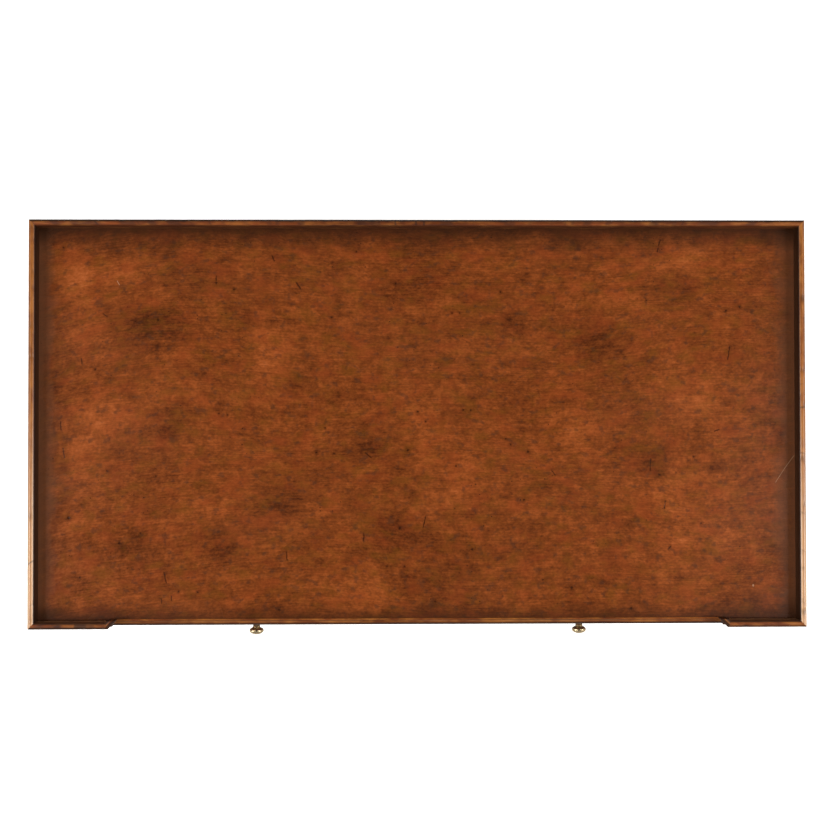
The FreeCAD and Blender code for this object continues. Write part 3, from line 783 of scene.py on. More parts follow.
def wear_at(spot, inset, height, end_fade, glaze, run):
    """(depth cut away, darkness left there). The darkness is glaze in dips, nicks and patches, a darkened
    line, glaze with painted shade on the inner wall, and painted shade along the outer edge. Glaze says
    how strong each is, run how far along.
    """
    radius = rail_thickness / 2
    crown = held((height - (gallery_height - radius)) / radius + CROWN_MARGIN)
    wave = 0.5 + 0.5 * noise.noise(spot * WAVES)
    bruise = max(0.0, noise.noise(spot * BRUISES + BRUISE_START) - BRUISE_LIMIT) / BRUISE_SPAN
    line_inset = radius - radius * math.cos(LINE_TURN)
    line_height = gallery_height - radius + radius * math.sin(LINE_TURN)
    off_line = math.hypot(inset - line_inset, height - line_height)
    line = held(2.0 * (1 - off_line / LINE_HALF_WIDTH))
    flecks = held(0.5 + 1.4 * noise.noise(spot * BREAKS))
    faint = glaze["line"] * (LINE_DARKNESS + LINE_FLECKS * flecks)
    # The inner wall and inner shoulder are darkened, glaze and painted shade together.
    inner_side = held((inset / rail_thickness - glaze["starts"]) / INNER_GLAZE_AND_SHADE_FADE)
    foot, top = glaze["foot"], glaze["inner_top"]
    inner_side *= foot + (top - foot) * max(0.0, height) / gallery_height
    # Painted shade along the outermost strip of the bead, under its rounding.
    outer_painted_shade = OUTER_PAINTED_SHADE * glaze["line"] * held((OUTER_SHADE_WIDTH - inset) / OUTER_SHADE_FADE)
    back_or_front = BACK_START * round(spot.y / back_edge)
    patchy = noise.noise(Vector((run * PATCHES, PATCH_START, back_or_front)))
    patch = glaze["patches"] * crown * held(0.2 + PATCH_GROWTH * patchy)
    own_start = SIDE_START * round(spot.x / half_width) + back_or_front
    nicked = noise.noise(Vector((run * NICKS, NICK_START, own_start)))
    nick = crown * held(NICK_GROWTH * (nicked - NICK_LIMIT))
    knocked = wave * WAVE_DEPTH + bruise * BRUISE_DEPTH
    depth = crown * end_fade * knocked + line * LINE_DEPTH + nick * NICK_DEPTH
    in_dips = line * faint + BRUISE_GLAZE * bruise * crown
    return depth, min(1.0, max(in_dips, inner_side, outer_painted_shade, patch, NICK_GLAZE * nick))


# How strong the darkening is in the line; how dark the inner wall is made, glaze and painted shade
# together, at its top and foot, and where that begins; how strong the glaze is in patches
back_glaze_and_shade = {"line": 1.0, "inner_top": 0.65, "foot": 0.6, "starts": 0.8, "patches": 0.5}
# On the end rails the inner wall and inner shoulder are made nearly black, glaze and painted shade
# together
side_glaze_and_shade = {"line": 0.3, "inner_top": 1.0, "foot": 0.95, "starts": 0.82, "patches": 0.0}
left_corner_glaze_and_shade = {"line": 1.0, "inner_top": 0.95, "foot": 0.0, "starts": 0.72, "patches": 0.8}
right_corner_glaze_and_shade = dict(left_corner_glaze_and_shade, line=0.7, patches=0.0)
crown_spot = Vector((0, back_edge, crown_height))
depth_there = wear_at(crown_spot, rail_middle, gallery_height, 1.0, back_glaze_and_shade, 0.0)[0]
print("wear on the crown in the middle of the back, in mm", round(depth_there / MM, 3))

# %% [markdown]
# ## Run a rail between two corners
#
# A moulding could be one extruded bar with a rough surface, but then its dips would be painted on. Here
# the section is set down every three millimetres along the rail, and each of its points is sunk by the
# wear at that spot. How much glaze and painted shade stays there is stored on the mesh under the name
# that the finish looks for. The wear fades out near the mitres, so that two rails still meet.

# %% Run a worn rail between two corners
STATION = 3 * MM
FEWEST_STATIONS = 8
END_FADE = 6 * MM
INNER_SHARE = 0.6


def normals_of(section):
    """Unit normals of the section, pointing out of the wood."""
    count = len(section)
    result = []
    for index in range(count):
        before = section[index - 1]
        after = section[(index + 1) % count]
        run = (after[0] - before[0], after[1] - before[1])
        length = math.hypot(*run) or 1.0
        result.append((run[1] / length, -run[0] / length))
    return result


def straight_in(start, end, inner_start):
    """Unit direction from the outer edge of a rail straight in to its other side."""
    along = (end - start).normalized()
    across = Vector((-along.y, along.x, 0))
    return across if across.dot(inner_start - start) > 0 else -across


def wrap(built, ring, next_ring):
    """Faces all round between two rings of corners."""
    for index in range(len(ring)):
        after = (index + 1) % len(ring)
        built.faces.new((ring[index], ring[after], next_ring[after], next_ring[index]))


def new_piece(name, mesh_builder, finish, body):
    """A finished piece of that name, riding on a body."""
    bmesh.ops.recalc_face_normals(mesh_builder, faces=mesh_builder.faces)
    mesh = bpy.data.meshes.new(name)
    mesh_builder.to_mesh(mesh)
    mesh_builder.free()
    piece = placed(name, mesh)
    mesh.materials.append(finish)
    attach(piece, body)
    print("made", name, "with", len(mesh.polygons), "faces")
    return piece


def shade_round(piece, angle):
    """Shades smoothly over bends below the angle, in degrees, and keeps sharper edges crisp."""
    limit = math.radians(angle)
    shaped = bmesh.new()
    shaped.from_mesh(piece.data)
    for face in shaped.faces:
        face.smooth = True
    for edge in shaped.edges:
        edge.smooth = len(edge.link_faces) == 2 and edge.calc_face_angle(0.0) < limit
    shaped.to_mesh(piece.data)
    shaped.free()


def rail(name, start, end, finish, glaze):
    """A worn gallery rail. Start and end are places in the plan's list of corners."""
    section = gallery_section()
    normals = normals_of(section)
    outer, inner = plan(0), plan(rail_thickness)
    length = (outer[end] - outer[start]).length
    stations = max(FEWEST_STATIONS, round(length / STATION))
    lean_start = (inner[start] - outer[start]) / rail_thickness
    lean_end = (inner[end] - outer[end]) / rail_thickness
    inward = straight_in(outer[start], outer[end], inner[start])
    built = bmesh.new()
    wax = built.verts.layers.float.new("wax_and_painted_shade")
    inner_side = built.verts.layers.float.new("inner_side")
    rings = []
    for station in range(stations + 1):
        share = station / stations
        fade = min(1.0, min(share, 1 - share) * stations * STATION / END_FADE)
        ring = []
        for (inset, height), (normal_in, normal_up) in zip(section, normals):
            first = outer[start] + lean_start * inset
            last = outer[end] + lean_end * inset
            spot = first.lerp(last, share) + Vector((0, 0, surface + height))
            depth, left = wear_at(spot, inset, height, fade, glaze, share * length)
            spot -= inward * (normal_in * depth) + Vector((0, 0, normal_up * depth))
            corner = built.verts.new(spot)
            # On a rail this stores glaze and painted shade alike.
            corner[wax] = left
            corner[inner_side] = float(inset > INNER_SHARE * rail_thickness)
            ring.append(corner)
        rings.append(ring)
    for ring, next_ring in zip(rings, rings[1:]):
        wrap(built, ring, next_ring)
    built.faces.new(rings[0])
    built.faces.new(list(reversed(rings[-1])))
    piece = new_piece(name + "_worn", built, finish, "table_frame")
    shade_round(piece, 35)
    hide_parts(name)


rail("gallery_back", 0, 7, cherry["rail_along"], back_glaze_and_shade)
rail("gallery_right", 0, 1, cherry["rail_side"], side_glaze_and_shade)
rail("gallery_left", 7, 6, cherry["rail_side"], side_glaze_and_shade)
rail("gallery_front_right", 1, 2, cherry["rail_corner"], right_corner_glaze_and_shade)
rail("gallery_front_left", 6, 5, cherry["rail_corner"], left_corner_glaze_and_shade)

# %% [markdown]
# ## Knocks, slits, scratches and clouds
#
# An old top is read by its accidents. The larger ones are placed where the photograph has them, by
# its own pixels cast down onto the wood: worm holes and knocks as points, knife slits and pale
# scratches as short lines, and the finisher's clouds of stain as soft patches, light or dark.
# Everything smaller is left to the veneer's own recipe.

# %% Marks by their place in the photograph
# Each knock is (across, down, width in millimetres)
knocks = [
    (659.5, 474.7, 2.6), (676, 473, 1.8), (693.5, 456.8, 2.2), (571.6, 587.5, 3.4),
    (631.3, 608.2, 3.2), (739.9, 306.7, 3.4), (725.8, 310.8, 2.6), (645.9, 300.4, 2.2),
    (399.5, 528.2, 3.4), (417.7, 411.3, 2.4), (426, 421.2, 2.0), (463.3, 410, 1.8),
    (470.8, 410.4, 1.8), (506, 439, 2.2), (510.5, 444, 2.0), (528, 451.9, 2.8), (523.9, 500, 2.6),
    (324.9, 427.8, 2.0), (316.3, 452.4, 2.4), (334, 453.5, 2.2), (407.8, 450.2, 3.0),
    (216.2, 283, 3.0), (63.5, 247.5, 2.6), (95.3, 369.4, 2.2), (157.9, 319.8, 3.2),
    (218.9, 413.6, 2.0), (227.6, 414.9, 2.0), (107, 470.8, 2.2), (119.3, 543.1, 2.6),
    (140.3, 532.9, 2.2), (79.6, 577.8, 2.4), (178.5, 591.4, 2.2), (198, 592, 2.4),
    (395.9, 283.7, 2.4), (500.5, 291.7, 2.6), (452.1, 313.2, 1.8), (459.5, 313.2, 1.8),
    (332, 317.4, 2.0), (472.1, 549.4, 3.2), (404.7, 566.2, 2.0), (386.8, 566.2, 1.8),
    (542.6, 579.9, 2.6), (435.3, 601.2, 2.6), (279, 610, 2.2), (156, 476.1, 2.2), (68.4, 518.2, 4.4),
    (234.2, 289, 2.4), (356.3, 251.7, 2.0), (455.9, 466, 2.4), (701, 523.6, 2.2),
]
# Each slit runs from one pixel to another
slits = [
    (650.6, 459, 650.2, 470.5), (665.4, 501, 664.2, 508.5), (660.4, 240, 658.4, 245.5),
    (658, 248, 657.4, 251.6), (729.6, 346.5, 727.8, 359.6), (425.6, 517, 423.2, 526.8),
    (551.8, 470.5, 555, 475), (363.8, 534, 363.6, 541), (272, 256, 274.4, 261),
    (296.4, 283, 300.4, 288.4), (163.8, 573, 166.4, 583), (60.6, 422, 61, 430),
    (63.2, 448.4, 64.2, 457.6), (81.4, 358.6, 81.8, 363.8), (103.4, 314, 107, 316.4),
    (365.6, 453, 371.4, 457.8), (668, 549.4, 671, 546), (161.4, 598.6, 161.8, 603.4),
    (171.2, 596, 171.6, 600.2), (714.4, 431.2, 719, 429.4), (216, 276, 216.2, 283),
    (286.6, 552, 287, 560),
]
# Each pale scratch runs from one pixel to another, with its width in millimetres
scratches = [
    (775.6, 482.2, 784.4, 468.6, 0.4), (784.4, 468.6, 793.8, 455.7, 0.5),
    (753.2, 585, 753.3, 585.8, 1.3), (117.2, 281, 119.4, 284.8, 0.6),
]
# Each cloud is (across, down, reach in pixels, how much lighter or, below zero, darker)
clouds = [
    (152, 327, 20, -0.2), (245, 325, 16, -0.12), (595, 342, 20, -0.18), (652, 462, 17, -0.18),
    (370, 450, 20, -0.14), (280, 507, 18, -0.16), (225, 545, 18, -0.14), (395, 533, 16, -0.17),
    (680, 292, 17, -0.15), (295, 387, 14, -0.13), (135, 545, 15, -0.13), (410, 282, 24, -0.13),
    (535, 415, 13, -0.13), (645, 512, 18, -0.1), (510, 322, 18, -0.1), (205, 265, 18, -0.08),
    (450, 590, 34, -0.12), (430, 545, 26, -0.08), (165, 430, 15, -0.1), (80, 385, 12, -0.1),
    (75, 275, 17, 0.24), (120, 275, 15, 0.14), (270, 352, 24, 0.13), (95, 412, 26, 0.15),
    (470, 482, 16, 0.15), (575, 432, 20, 0.16), (695, 400, 24, 0.16), (670, 493, 30, 0.16),
    (78, 455, 17, 0.15), (672, 545, 20, 0.14), (365, 589, 18, 0.15), (730, 540, 18, 0.12),
    (170, 385, 20, 0.1), (220, 510, 22, 0.12), (615, 295, 18, 0.1), (692, 255, 26, 0.15),
    (412, 430, 20, 0.1), (72, 520, 16, 0.12), (85, 330, 18, 0.1), (60, 560, 14, 0.08),
]
SLIT_HALF_WIDTH = 0.6 * MM
SLIT_DEPTH = 0.1 * MM
KNOCK_REACH_SHARE = 0.6
KNOCK_DEPTH_SHARE = 0.06
PIXEL = (on_the_top(half_photo + 1, half_photo) - on_the_top(half_photo, half_photo)).length

marks = []
for across, down, width in knocks:
    place = on_the_top(across, down)
    marks.append((place, place, width * MM * KNOCK_REACH_SHARE, width * MM * KNOCK_DEPTH_SHARE))
for slit in slits:
    marks.append((on_the_top(*slit[:2]), on_the_top(*slit[2:]), SLIT_HALF_WIDTH, SLIT_DEPTH))
pale = [(on_the_top(*line[:2]), on_the_top(*line[2:4]), line[4] * MM) for line in scratches]
stain_clouds = [(on_the_top(*cloud[:2]), cloud[2] * PIXEL, cloud[3]) for cloud in clouds]
print("marks", len(marks), "scratches", len(pale), "clouds", len(stain_clouds))
print("one pixel is", round(PIXEL / MM, 3), "mm")

# %% [markdown]
# ## What a mark leaves in the wood
#
# A knock does more than dent a board: wax and dirt fill it, and a brown halo creeps into the open
# grain around it. A scratch only takes off the stain. Each spot of the surface asks the marks near it
# how far to sink, darken or pale. Round dots and ruled lines would look stamped, so the spot is first
# pushed about by noise, which frays every outline.

# %% Marks felt at one spot
MARK_REACH = 0.03
FRAY, FRAYS = 0.9 * MM, 150
CLOUD_FRAY, CLOUD_FRAYS = 0.022, 22
CLOUD_LENGTH = 1.25
RAGGED, RAGS = 0.45, 420
# Where each ends, in widths of the mark, and how steeply it does
HOLE_END, HOLE_SLOPE = 0.9, 1.6
WAX_END, WAX_SLOPE = 1.5, 1.3
SCRATCH_END = 1.4
HALO = 5.0
# How strong each is at the most
HALO_STRENGTH, DARKEST_WAX, PALEST_SCRATCH = 0.75, 0.85, 0.45


def off_segment(spot, start, end):
    """How far a spot is from the line between two places, in plan."""
    run = end - start
    share = 0.0
    if run.length_squared > 0:
        share = held((spot - start).dot(run) / run.length_squared)
    near = start + run * share
    return math.hypot(spot.x - near.x, spot.y - near.y)


def pushed(spot, scale, shift, reach):
    """The spot, pushed about in plan, which frays an outline drawn through it."""
    push = (noise.noise(spot * scale), noise.noise(spot * scale + Vector(shift)), 0)
    return spot + Vector(push) * reach


def mark_at(spot):
    """(depth, dark wax) that the marks leave at a spot."""
    depth, wax = 0.0, 0.0
    frayed = pushed(spot, FRAYS, (5, 1, 8), FRAY)
    ragged = 1 + RAGGED * noise.noise(spot * RAGS)
    for start, end, reach, deepest in marks:
        if abs(spot.x - start.x) > MARK_REACH or abs(spot.y - start.y) > MARK_REACH:
            continue
        off = ragged * off_segment(frayed, start, end) / reach
        if off < HALO:
            depth = max(depth, deepest * held(HOLE_SLOPE * (HOLE_END - off)))
            halo = HALO_STRENGTH * (1 - off / HALO) ** 2
            wax = max(wax, halo, min(DARKEST_WAX, WAX_SLOPE * (WAX_END - off)))
    return depth, wax


def pale_at(spot):
    """How much of the stain a scratch has taken off at a spot."""
    share = 0.0
    for start, end, reach in pale:
        left = SCRATCH_END - off_segment(spot, start, end) / reach
        share = max(share, min(PALEST_SCRATCH, left))
    return share


def cloud_at(spot):
    """How much lighter or darker the finisher left the stain at a spot."""
    frayed = pushed(spot, CLOUD_FRAYS, (9, 4, 2), CLOUD_FRAY)
    total = 0.0
    for middle, reach, strength in stain_clouds:
        off = ((frayed.x - middle.x) / CLOUD_LENGTH) ** 2 + (frayed.y - middle.y) ** 2
        total += strength * math.exp(-off / reach**2)
    return total


print("in the first knock, (depth in metres, wax)", [round(c, 5) for c in mark_at(marks[0][0])])

# %% [markdown]
# ## The top board
#
# The board is one sheet of small squares, cut by the plan of the top and made finer only around each
# mark, so that a worm hole has an edge without the whole top being dense. A height picture could fake
# the marks, but a real hollow catches light from every side. The tongue that slides into the rails is
# folded down from the sheet's own rim, which keeps the board one closed solid.

# %% Build the top board
BOARD_CELL = 12 * MM
FINEST_CELL = 0.7 * MM
SAG, SAGS = 0.12 * MM, 9
NEARBY = 0.04
MARK_MARGIN, CELL_MARGIN = 1.4, 1.1


def squared_sheet(corners, cell):
    """A flat face with those corners, ruled into squares."""
    built = bmesh.new()
    built.faces.new([built.verts.new(corner) for corner in corners])
    for axis in (0, 1):
        low = min(corner[axis] for corner in corners)
        high = max(corner[axis] for corner in corners)
        count = round((high - low) / cell)
        direction = Vector((1 - axis, axis, 0))
        for index in range(1, count):
            line = direction * (low + (high - low) * index / count)
            everything = built.verts[:] + built.edges[:] + built.faces[:]
            bmesh.ops.bisect_plane(built, geom=everything, plane_co=line, plane_no=direction, dist=1e-7)
    return built


def finer_near_marks(built, cell):
    """Halves the squares around each mark until they are as small as the finest cell."""
    while cell > FINEST_CELL:
        edges = set()
        for face in built.faces:
            middle = face.calc_center_median()
            for start, end, reach, *_ in marks + pale:
                if abs(middle.x - start.x) > NEARBY or abs(middle.y - start.y) > NEARBY:
                    continue
                if off_segment(middle, start, end) < reach * MARK_MARGIN + cell * CELL_MARGIN:
                    edges.update(face.edges)
                    break
        bmesh.ops.subdivide_edges(built, edges=list(edges), cuts=1, use_grid_fill=True)
        cell /= 2


def place_on_plan(spot, corners):
    """(side of the plan, share along it) of a spot on the board's rim."""
    best = None
    for index, corner in enumerate(corners):
        after = corners[(index + 1) % len(corners)]
        off = off_segment(spot, corner, after)
        if best is None or off < best[0]:
            run = after - corner
            best = (off, index, (Vector((spot.x, spot.y, 0)) - corner).dot(run) / run.length_squared)
    return best[1], best[2]


def fold_down(built, rim, corners):
    """The board's edge and tongue, folded down from the rim of the sheet, and its underside."""
    places = [place_on_plan(corner.co, corners) for corner in rim]
    steps = [
        (rail_thickness, tongue_drop),
        (rail_thickness - tongue_length, tongue_drop),
        (rail_thickness - tongue_length, tongue_drop + tongue_thickness),
        (rail_thickness, tongue_drop + tongue_thickness),
        (rail_thickness, panel_thickness),
    ]
    rings = [rim]
    for inset, drop in steps:
        outline = plan(inset)
        ring = []
        for side, share in places:
            spot = outline[side].lerp(outline[(side + 1) % len(outline)], share)
            ring.append(built.verts.new((spot.x, spot.y, surface - drop)))
        wrap(built, rings[-1], ring)
        rings.append(ring)
    built.faces.new(rings[-1])


def rim_of(built):
    """The sheet's outer corners in order."""
    edge = next(edge for edge in built.edges if edge.is_boundary)
    first, here = edge.verts
    rim = [first]
    while here is not first:
        rim.append(here)
        edge = next(e for e in here.link_edges if e.is_boundary and e is not edge)
        here = edge.other_vert(here)
    return rim


def top_board():
    corners = [Vector((c.x, c.y, surface)) for c in plan(rail_thickness)]
    built = squared_sheet(corners, BOARD_CELL)
    finer_near_marks(built, BOARD_CELL)
    wax = built.verts.layers.float.new("wax_and_painted_shade")
    cloud = built.verts.layers.float.new("stain_cloud")
    scratched = built.verts.layers.float.new("pale_scratch")
    rim = rim_of(built)
    rim_set = set(rim)
    for corner in built.verts:
        depth, glaze = mark_at(corner.co)
        corner[wax] = glaze
        corner[cloud] = cloud_at(corner.co)
        corner[scratched] = pale_at(corner.co)
        if corner not in rim_set:
            corner.co.z -= depth + SAG * (0.5 + 0.5 * noise.noise(corner.co * SAGS))
    fold_down(built, rim, plan(rail_thickness))
    board = new_piece("top_board", built, cherry_top_finish, "table_frame")
    shade_round(board, 40)
    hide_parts("top_panel")
    return board


board = top_board()

# %% [markdown]
# ## Soften what the construction gives
#
# The frame's parts have knife-sharp edges, because a drawing does. On the real table every arris was
# taken off with a pass of sandpaper, and then worn through by use. A bevel modifier rounds them
# without touching the part itself, and it can hand the new narrow faces to a second finish: the same
# cherry, rubbed through to gold.

# %% Dress the parts of the frame
SAME_CORNER = 0.01 * MM
FLAT_ANGLE = math.radians(1)
SHARP_ANGLE = math.radians(40)


def dress(names, finish, edge_width=0.0, edge_finish=None):
    """Gives parts a finish and, with an edge width, rounded edges that can have one of their own."""
    for name in names:
        part = parts[name]
        part.data.materials.clear()
        part.data.materials.append(finish)
        if edge_width:
            part.data.materials.append(edge_finish or finish)
            soften(part, edge_width)
    print("dressed in", finish.name, ", ".join(names))


def soften(part, width):
    """Rounds a part's sharp edges by modifiers alone."""
    weld = part.modifiers.new("join_corners", "WELD")
    weld.merge_threshold = SAME_CORNER
    flat = part.modifiers.new("plain_faces", "DECIMATE")
    flat.decimate_type = "DISSOLVE"
    flat.angle_limit = FLAT_ANGLE
    bevel = part.modifiers.new("soft_edges", "BEVEL")
    bevel.width = width
    bevel.segments = 2
    bevel.limit_method = "ANGLE"
    bevel.angle_limit = SHARP_ANGLE
    bevel.harden_normals = True
    bevel.material = 1


def both(*names):
    return [name.format(hand) for name in names for hand in ("left", "right")]


ARRIS = 0.8 * MM
FINE_ARRIS = 0.4 * MM
rubbed = cherry["rubbed"]
front_and_back = ["apron_back", "front_top_rail", "front_bottom_rail", "centre_stile"]
slides = both("runner_{}_inner", "runner_{}_outer", "kicker_{}_inner", "kicker_{}_outer")
dress(both("leg_front_{}", "leg_back_{}", "corner_panel_{}"), cherry["upright"], ARRIS, rubbed)
dress(front_and_back, cherry["along"], ARRIS, rubbed)
dress(both("apron_{}"), cherry["side"], ARRIS, rubbed)
dress(both("drawer_{}_front"), cherry["along"], FINE_ARRIS, rubbed)
dress(["front_lip"], cherry["lip"])
dress(both("gallery_cant_{}"), cherry["rail_cant"])
dress(slides + ["centre_rail"], raw["side"], ARRIS)
dress(["top_buttons"] + both("corner_brace_{}"), raw["along"], ARRIS)
dress(both("drawer_{}_side_inner", "drawer_{}_side_outer"), raw["box_side"], FINE_ARRIS)
dress(both("drawer_{}_back", "drawer_{}_bottom", "drawer_{}_stop"), raw["box_along"], FINE_ARRIS)
dress(both("drawer_{}_knob"), brass)
dress(both("drawer_{}_knob_screw") + ["brace_bolts"], steel)
dress(["floor_glides"], nylon)

# %% [markdown]
# ## Leave the inside bare
#
# A finisher sprays a table from outside. The backs of the rails and aprons, the drawers' inner faces
# and the underside of the top stay bare wood, and a buyer who pulls out a drawer looks for just that.
# Faces are picked by the way they look and where they lie, so no edge has to be marked by hand.

# %% Bare wood on the inner faces
FACING = 0.9
LIP_DEPTH = 7 * MM


def bare_faces(part, finish, chosen):
    """Gives the faces that are chosen, by their middle and normal, a finish of their own."""
    part.data.materials.append(finish)
    slot = len(part.data.materials) - 1
    count = 0
    for face in part.data.polygons:
        if chosen(face.center, face.normal):
            face.material_index = slot
            count += 1
    print("bare faces on", part.name, count)


def looks(axis, sign):
    """Chooses the faces that look along an axis, 0, 1 or 2, to the side of that sign."""
    return lambda place, normal: normal[axis] * sign > FACING


core_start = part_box("drawer_left_front")[0].y + LIP_DEPTH
bare_faces(parts["apron_left"], raw["side"], looks(0, 1))
bare_faces(parts["apron_right"], raw["side"], looks(0, -1))
bare_faces(parts["apron_back"], raw["along"], looks(1, -1))
for name in ["front_top_rail", "front_bottom_rail", "centre_stile"] + both("corner_panel_{}"):
    bare_faces(parts[name], raw["along"], looks(1, 1))
for name in both("drawer_{}_front"):
    bare_faces(parts[name], raw["box_along"], lambda place, normal: place.y > core_start)
bare_faces(board, raw["along"], looks(2, -1))

# %% [markdown]
# ## Screws
#
# Eight screws hold the buttons, four come up through the front rail, and three fix each drawer bottom
# to its back. They are plain slotted countersunk screws, so small that only the head and the start of
# the taper are made. The slot is cut as real walls and a floor: a black line painted on would give
# itself away as soon as the drawer is turned over.

# %% Slotted screws
slot_half_width = 0.5 * MM
slot_depth = 0.9 * MM
head_depth = 2.6 * MM
head_lift = 0.15 * MM
TAPER_SHARE = 0.45
BASE_MARGIN = 0.1 * MM
ARC_STEPS = 10


def slotted_screw(built, place, radius, turn):
    """One screw that points up, its head facing the floor."""
    gap = math.asin(slot_half_width / radius)
    arcs = []
    for start in (gap, math.pi + gap):
        angles = [start + (math.pi - 2 * gap) * step / ARC_STEPS for step in range(ARC_STEPS + 1)]
        arcs.append([turn + angle for angle in angles])

    def ring(size, depth):
        spots = []
        for angles in arcs:
            for angle in angles:
                spots.append((size * math.cos(angle), size * math.sin(angle), depth - head_lift))
        return [built.verts.new(place + Vector(spot)) for spot in spots]

    face, rim, taper = ring(radius, 0.0), ring(radius, slot_depth), ring(radius * TAPER_SHARE, head_depth)
    half = ARC_STEPS + 1
    for start in (0, half):
        built.faces.new(face[start:start + half])
        built.faces.new((face[start], face[start + half - 1], rim[start + half - 1], rim[start]))
        for index in range(start, start + half - 1):
            built.faces.new((face[index], face[index + 1], rim[index + 1], rim[index]))
    built.faces.new((rim[0], rim[half - 1], rim[half], rim[-1]))
    wrap(built, rim, taper)
    built.faces.new(taper)


def screws(name, places, radius, body):
    """One piece of equal screws, each with its slot turned by chance."""
    built = bmesh.new()
    for place in places:
        slotted_screw(built, place, radius, dice.uniform(0, math.pi))
    shade_round(new_piece(name, built, steel, body), 30)


def undersides(part):
    """The middle of the lowest side of each separate block in a part."""
    shaped = bmesh.new()
    shaped.from_mesh(part.data)
    bmesh.ops.remove_doubles(shaped, verts=shaped.verts, dist=SAME_CORNER)
    left = set(shaped.verts)
    found = []
    while left:
        block, edge = set(), [left.pop()]
        while edge:
            here = edge.pop()
            block.add(here)
            near = {link.other_vert(here) for link in here.link_edges} & left
            left -= near
            edge += near
        lowest = min(corner.co.z for corner in block)
        base = sorted(tuple(corner.co) for corner in block if corner.co.z < lowest + BASE_MARGIN)
        found.append(sum(map(Vector, base), Vector()) / len(base))
    shaped.free()
    return sorted(found, key=lambda spot: (round(spot.x, 4), round(spot.y, 4)))


FRAME_SCREW = 3.8 * MM
DRAWER_SCREW = 3.2 * MM
FROM_THE_MIDDLE = (0.19, 0.45)
ALONG_THE_BACK = (0.15, 0.5, 0.85)
dice = random.Random(57)
screws("button_screws", undersides(parts["top_buttons"]), FRAME_SCREW, "table_frame")
rail_low, rail_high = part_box("front_top_rail")
middle_of_rail = (rail_low.y + rail_high.y) / 2
along_rail = [side * across for side in (-1, 1) for across in FROM_THE_MIDDLE]
rail_places = [Vector((x, middle_of_rail, rail_low.z)) for x in along_rail]
screws("top_rail_screws", rail_places, FRAME_SCREW, "table_frame")
for hand in ("left", "right"):
    behind_low, behind_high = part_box(f"drawer_{hand}_back")
    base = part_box(f"drawer_{hand}_bottom")[0].z
    across = [behind_low.x + (behind_high.x - behind_low.x) * share for share in ALONG_THE_BACK]
    places = [Vector((x, (behind_low.y + behind_high.y) / 2, base)) for x in across]
    screws(f"drawer_{hand}_bottom_screws", places, DRAWER_SCREW, f"drawer_{hand}")

# %% [markdown]
# ## The paper
#
# The picture was taken on seamless white paper. Here it is a wide pale dish with a rim, so that it
# meets no horizon from any side. A flat sheet would end in a line wherever the camera looks across it.
# The paper glows toward the camera to read as white, and still darkens where the table shades it.

# %% Paper dish
DISH_FLAT = 6.0
DISH_BEND = 1.5
DISH_RIM = 3.2
DISH_SIDES = 64
CAMERA_GLOW = 0.8
MIRRORED_GLOW = 0.1
FULL_LIGHT = (1, 1, 1, 1)


def paper_dish():
    """A flat round floor that bends up into a rim all round."""
    built = bmesh.new()
    bend = quarter_curve((DISH_FLAT, 0.0), DISH_BEND, DISH_BEND)
    profile = [(DISH_FLAT, 0.0)] + bend + [(DISH_FLAT + DISH_BEND, DISH_RIM)]
    rings = []
    for index in range(DISH_SIDES):
        turn = math.tau * index / DISH_SIDES
        spots = [(r * math.cos(turn), r * math.sin(turn), z) for r, z in profile]
        rings.append([built.verts.new(spot) for spot in spots])
    middle = built.verts.new((0, 0, 0))
    for index, ring in enumerate(rings):
        after = rings[(index + 1) % len(rings)]
        built.faces.new((middle, ring[0], after[0]))
        for step in range(len(ring) - 1):
            built.faces.new((ring[step], ring[step + 1], after[step + 1], after[step]))
    mesh = bpy.data.meshes.new("paper_dish")
    bmesh.ops.recalc_face_normals(built, faces=built.faces)
    built.to_mesh(mesh)
    built.free()
    dish = placed("paper_dish", mesh)
    shade_round(dish, 40)
    return dish


def white_paper():
    """Pale paper that glows toward the camera, a little into reflections, and keeps its shadows."""
    finish = Finish("white_paper")
    camera_ray, mirrored = finish.watched()
    fibre = finish.cloud(finish.place, (40, 40, 40), 3.0)
    finish.colour = finish.tones(fibre, [(0.3, paint(232, 231, 228)), (0.7, paint(240, 239, 237))])
    glow = finish.plus(finish.times(camera_ray, CAMERA_GLOW), finish.times(mirrored, MIRRORED_GLOW))
    finish.feed(finish.shader.inputs["Emission Strength"], glow)
    finish.shader.inputs["Emission Color"].default_value = FULL_LIGHT
    return finish.done(0.9)


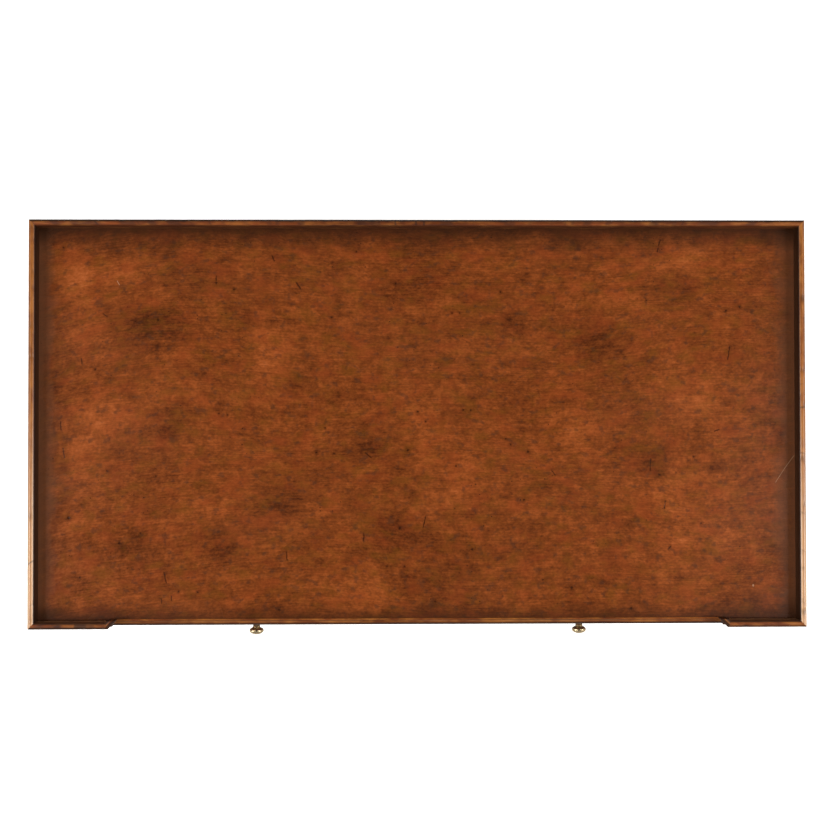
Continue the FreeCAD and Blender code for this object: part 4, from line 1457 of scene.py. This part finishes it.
dish = paper_dish()
dish.data.materials.append(white_paper())

# %% [markdown]
# ## Lamps and sky
#
# A large soft lamp stood on either side, a little toward the front: that is what draws the two bright
# lines down each side rail, over pale colour painted on both shoulders as a painted highlight. One lamp
# overhead would have lit the floor as well, but left the bead flat. The sky fills the shadows, most
# from low down, and it is white to the camera where it shows over the rim of the paper.

# %% Lamps and sky
LAMP_ASIDE = 2.85
LAMP_FORWARD = -0.55
LAMP_HEIGHT = 2.95
LAMP_SIZE = (0.5, 2.3)
lamp_aim = Vector((0, -0.1, surface))


def soft_lamp(name, side, power):
    lamp_data = bpy.data.lights.new(name, "AREA")
    lamp_data.shape = "RECTANGLE"
    lamp_data.size, lamp_data.size_y = LAMP_SIZE
    lamp_data.energy = power
    lamp = placed(name, lamp_data)
    lamp.location = (side * LAMP_ASIDE, LAMP_FORWARD, LAMP_HEIGHT)
    lamp.rotation_mode = "QUATERNION"
    lamp.rotation_quaternion = (lamp_aim - lamp.location).to_track_quat("-Z", "Y")
    lamp.visible_camera = False
    print("lamp", name, "at", [round(c, 2) for c in lamp.location])


def studio_sky(level_overhead, level_low):
    """A sky that lights the table, and is white to the camera where it shows over the dish."""
    world = bpy.data.worlds.new("studio_sky")
    world.use_nodes = True
    bench = Bench(world.node_tree)
    looking = bench.add("TexCoord", {}, output="Generated")
    upward = bench.add("SeparateXYZ", {"Vector": looking}, output="Z")
    lit = bench.between(upward, 0.0, 1.0, level_low, level_overhead)
    camera_ray, mirrored = bench.watched()
    seen = bench.larger(camera_ray, bench.times(mirrored, MIRRORED_GLOW))
    background = bench.tree.nodes["Background"].inputs
    bench.feed(background["Strength"], bench.larger(seen, lit))
    background["Color"].default_value = FULL_LIGHT
    bpy.context.scene.world = world


soft_lamp("left_lamp", -1, power=88)
soft_lamp("right_lamp", 1, power=91)
studio_sky(level_overhead=0.08, level_low=0.95)
bpy.context.scene.view_settings.view_transform = "Standard"

# %% [markdown]
# ## The size of the dressed table
#
# The dressed table must fit the box that the construction gives.
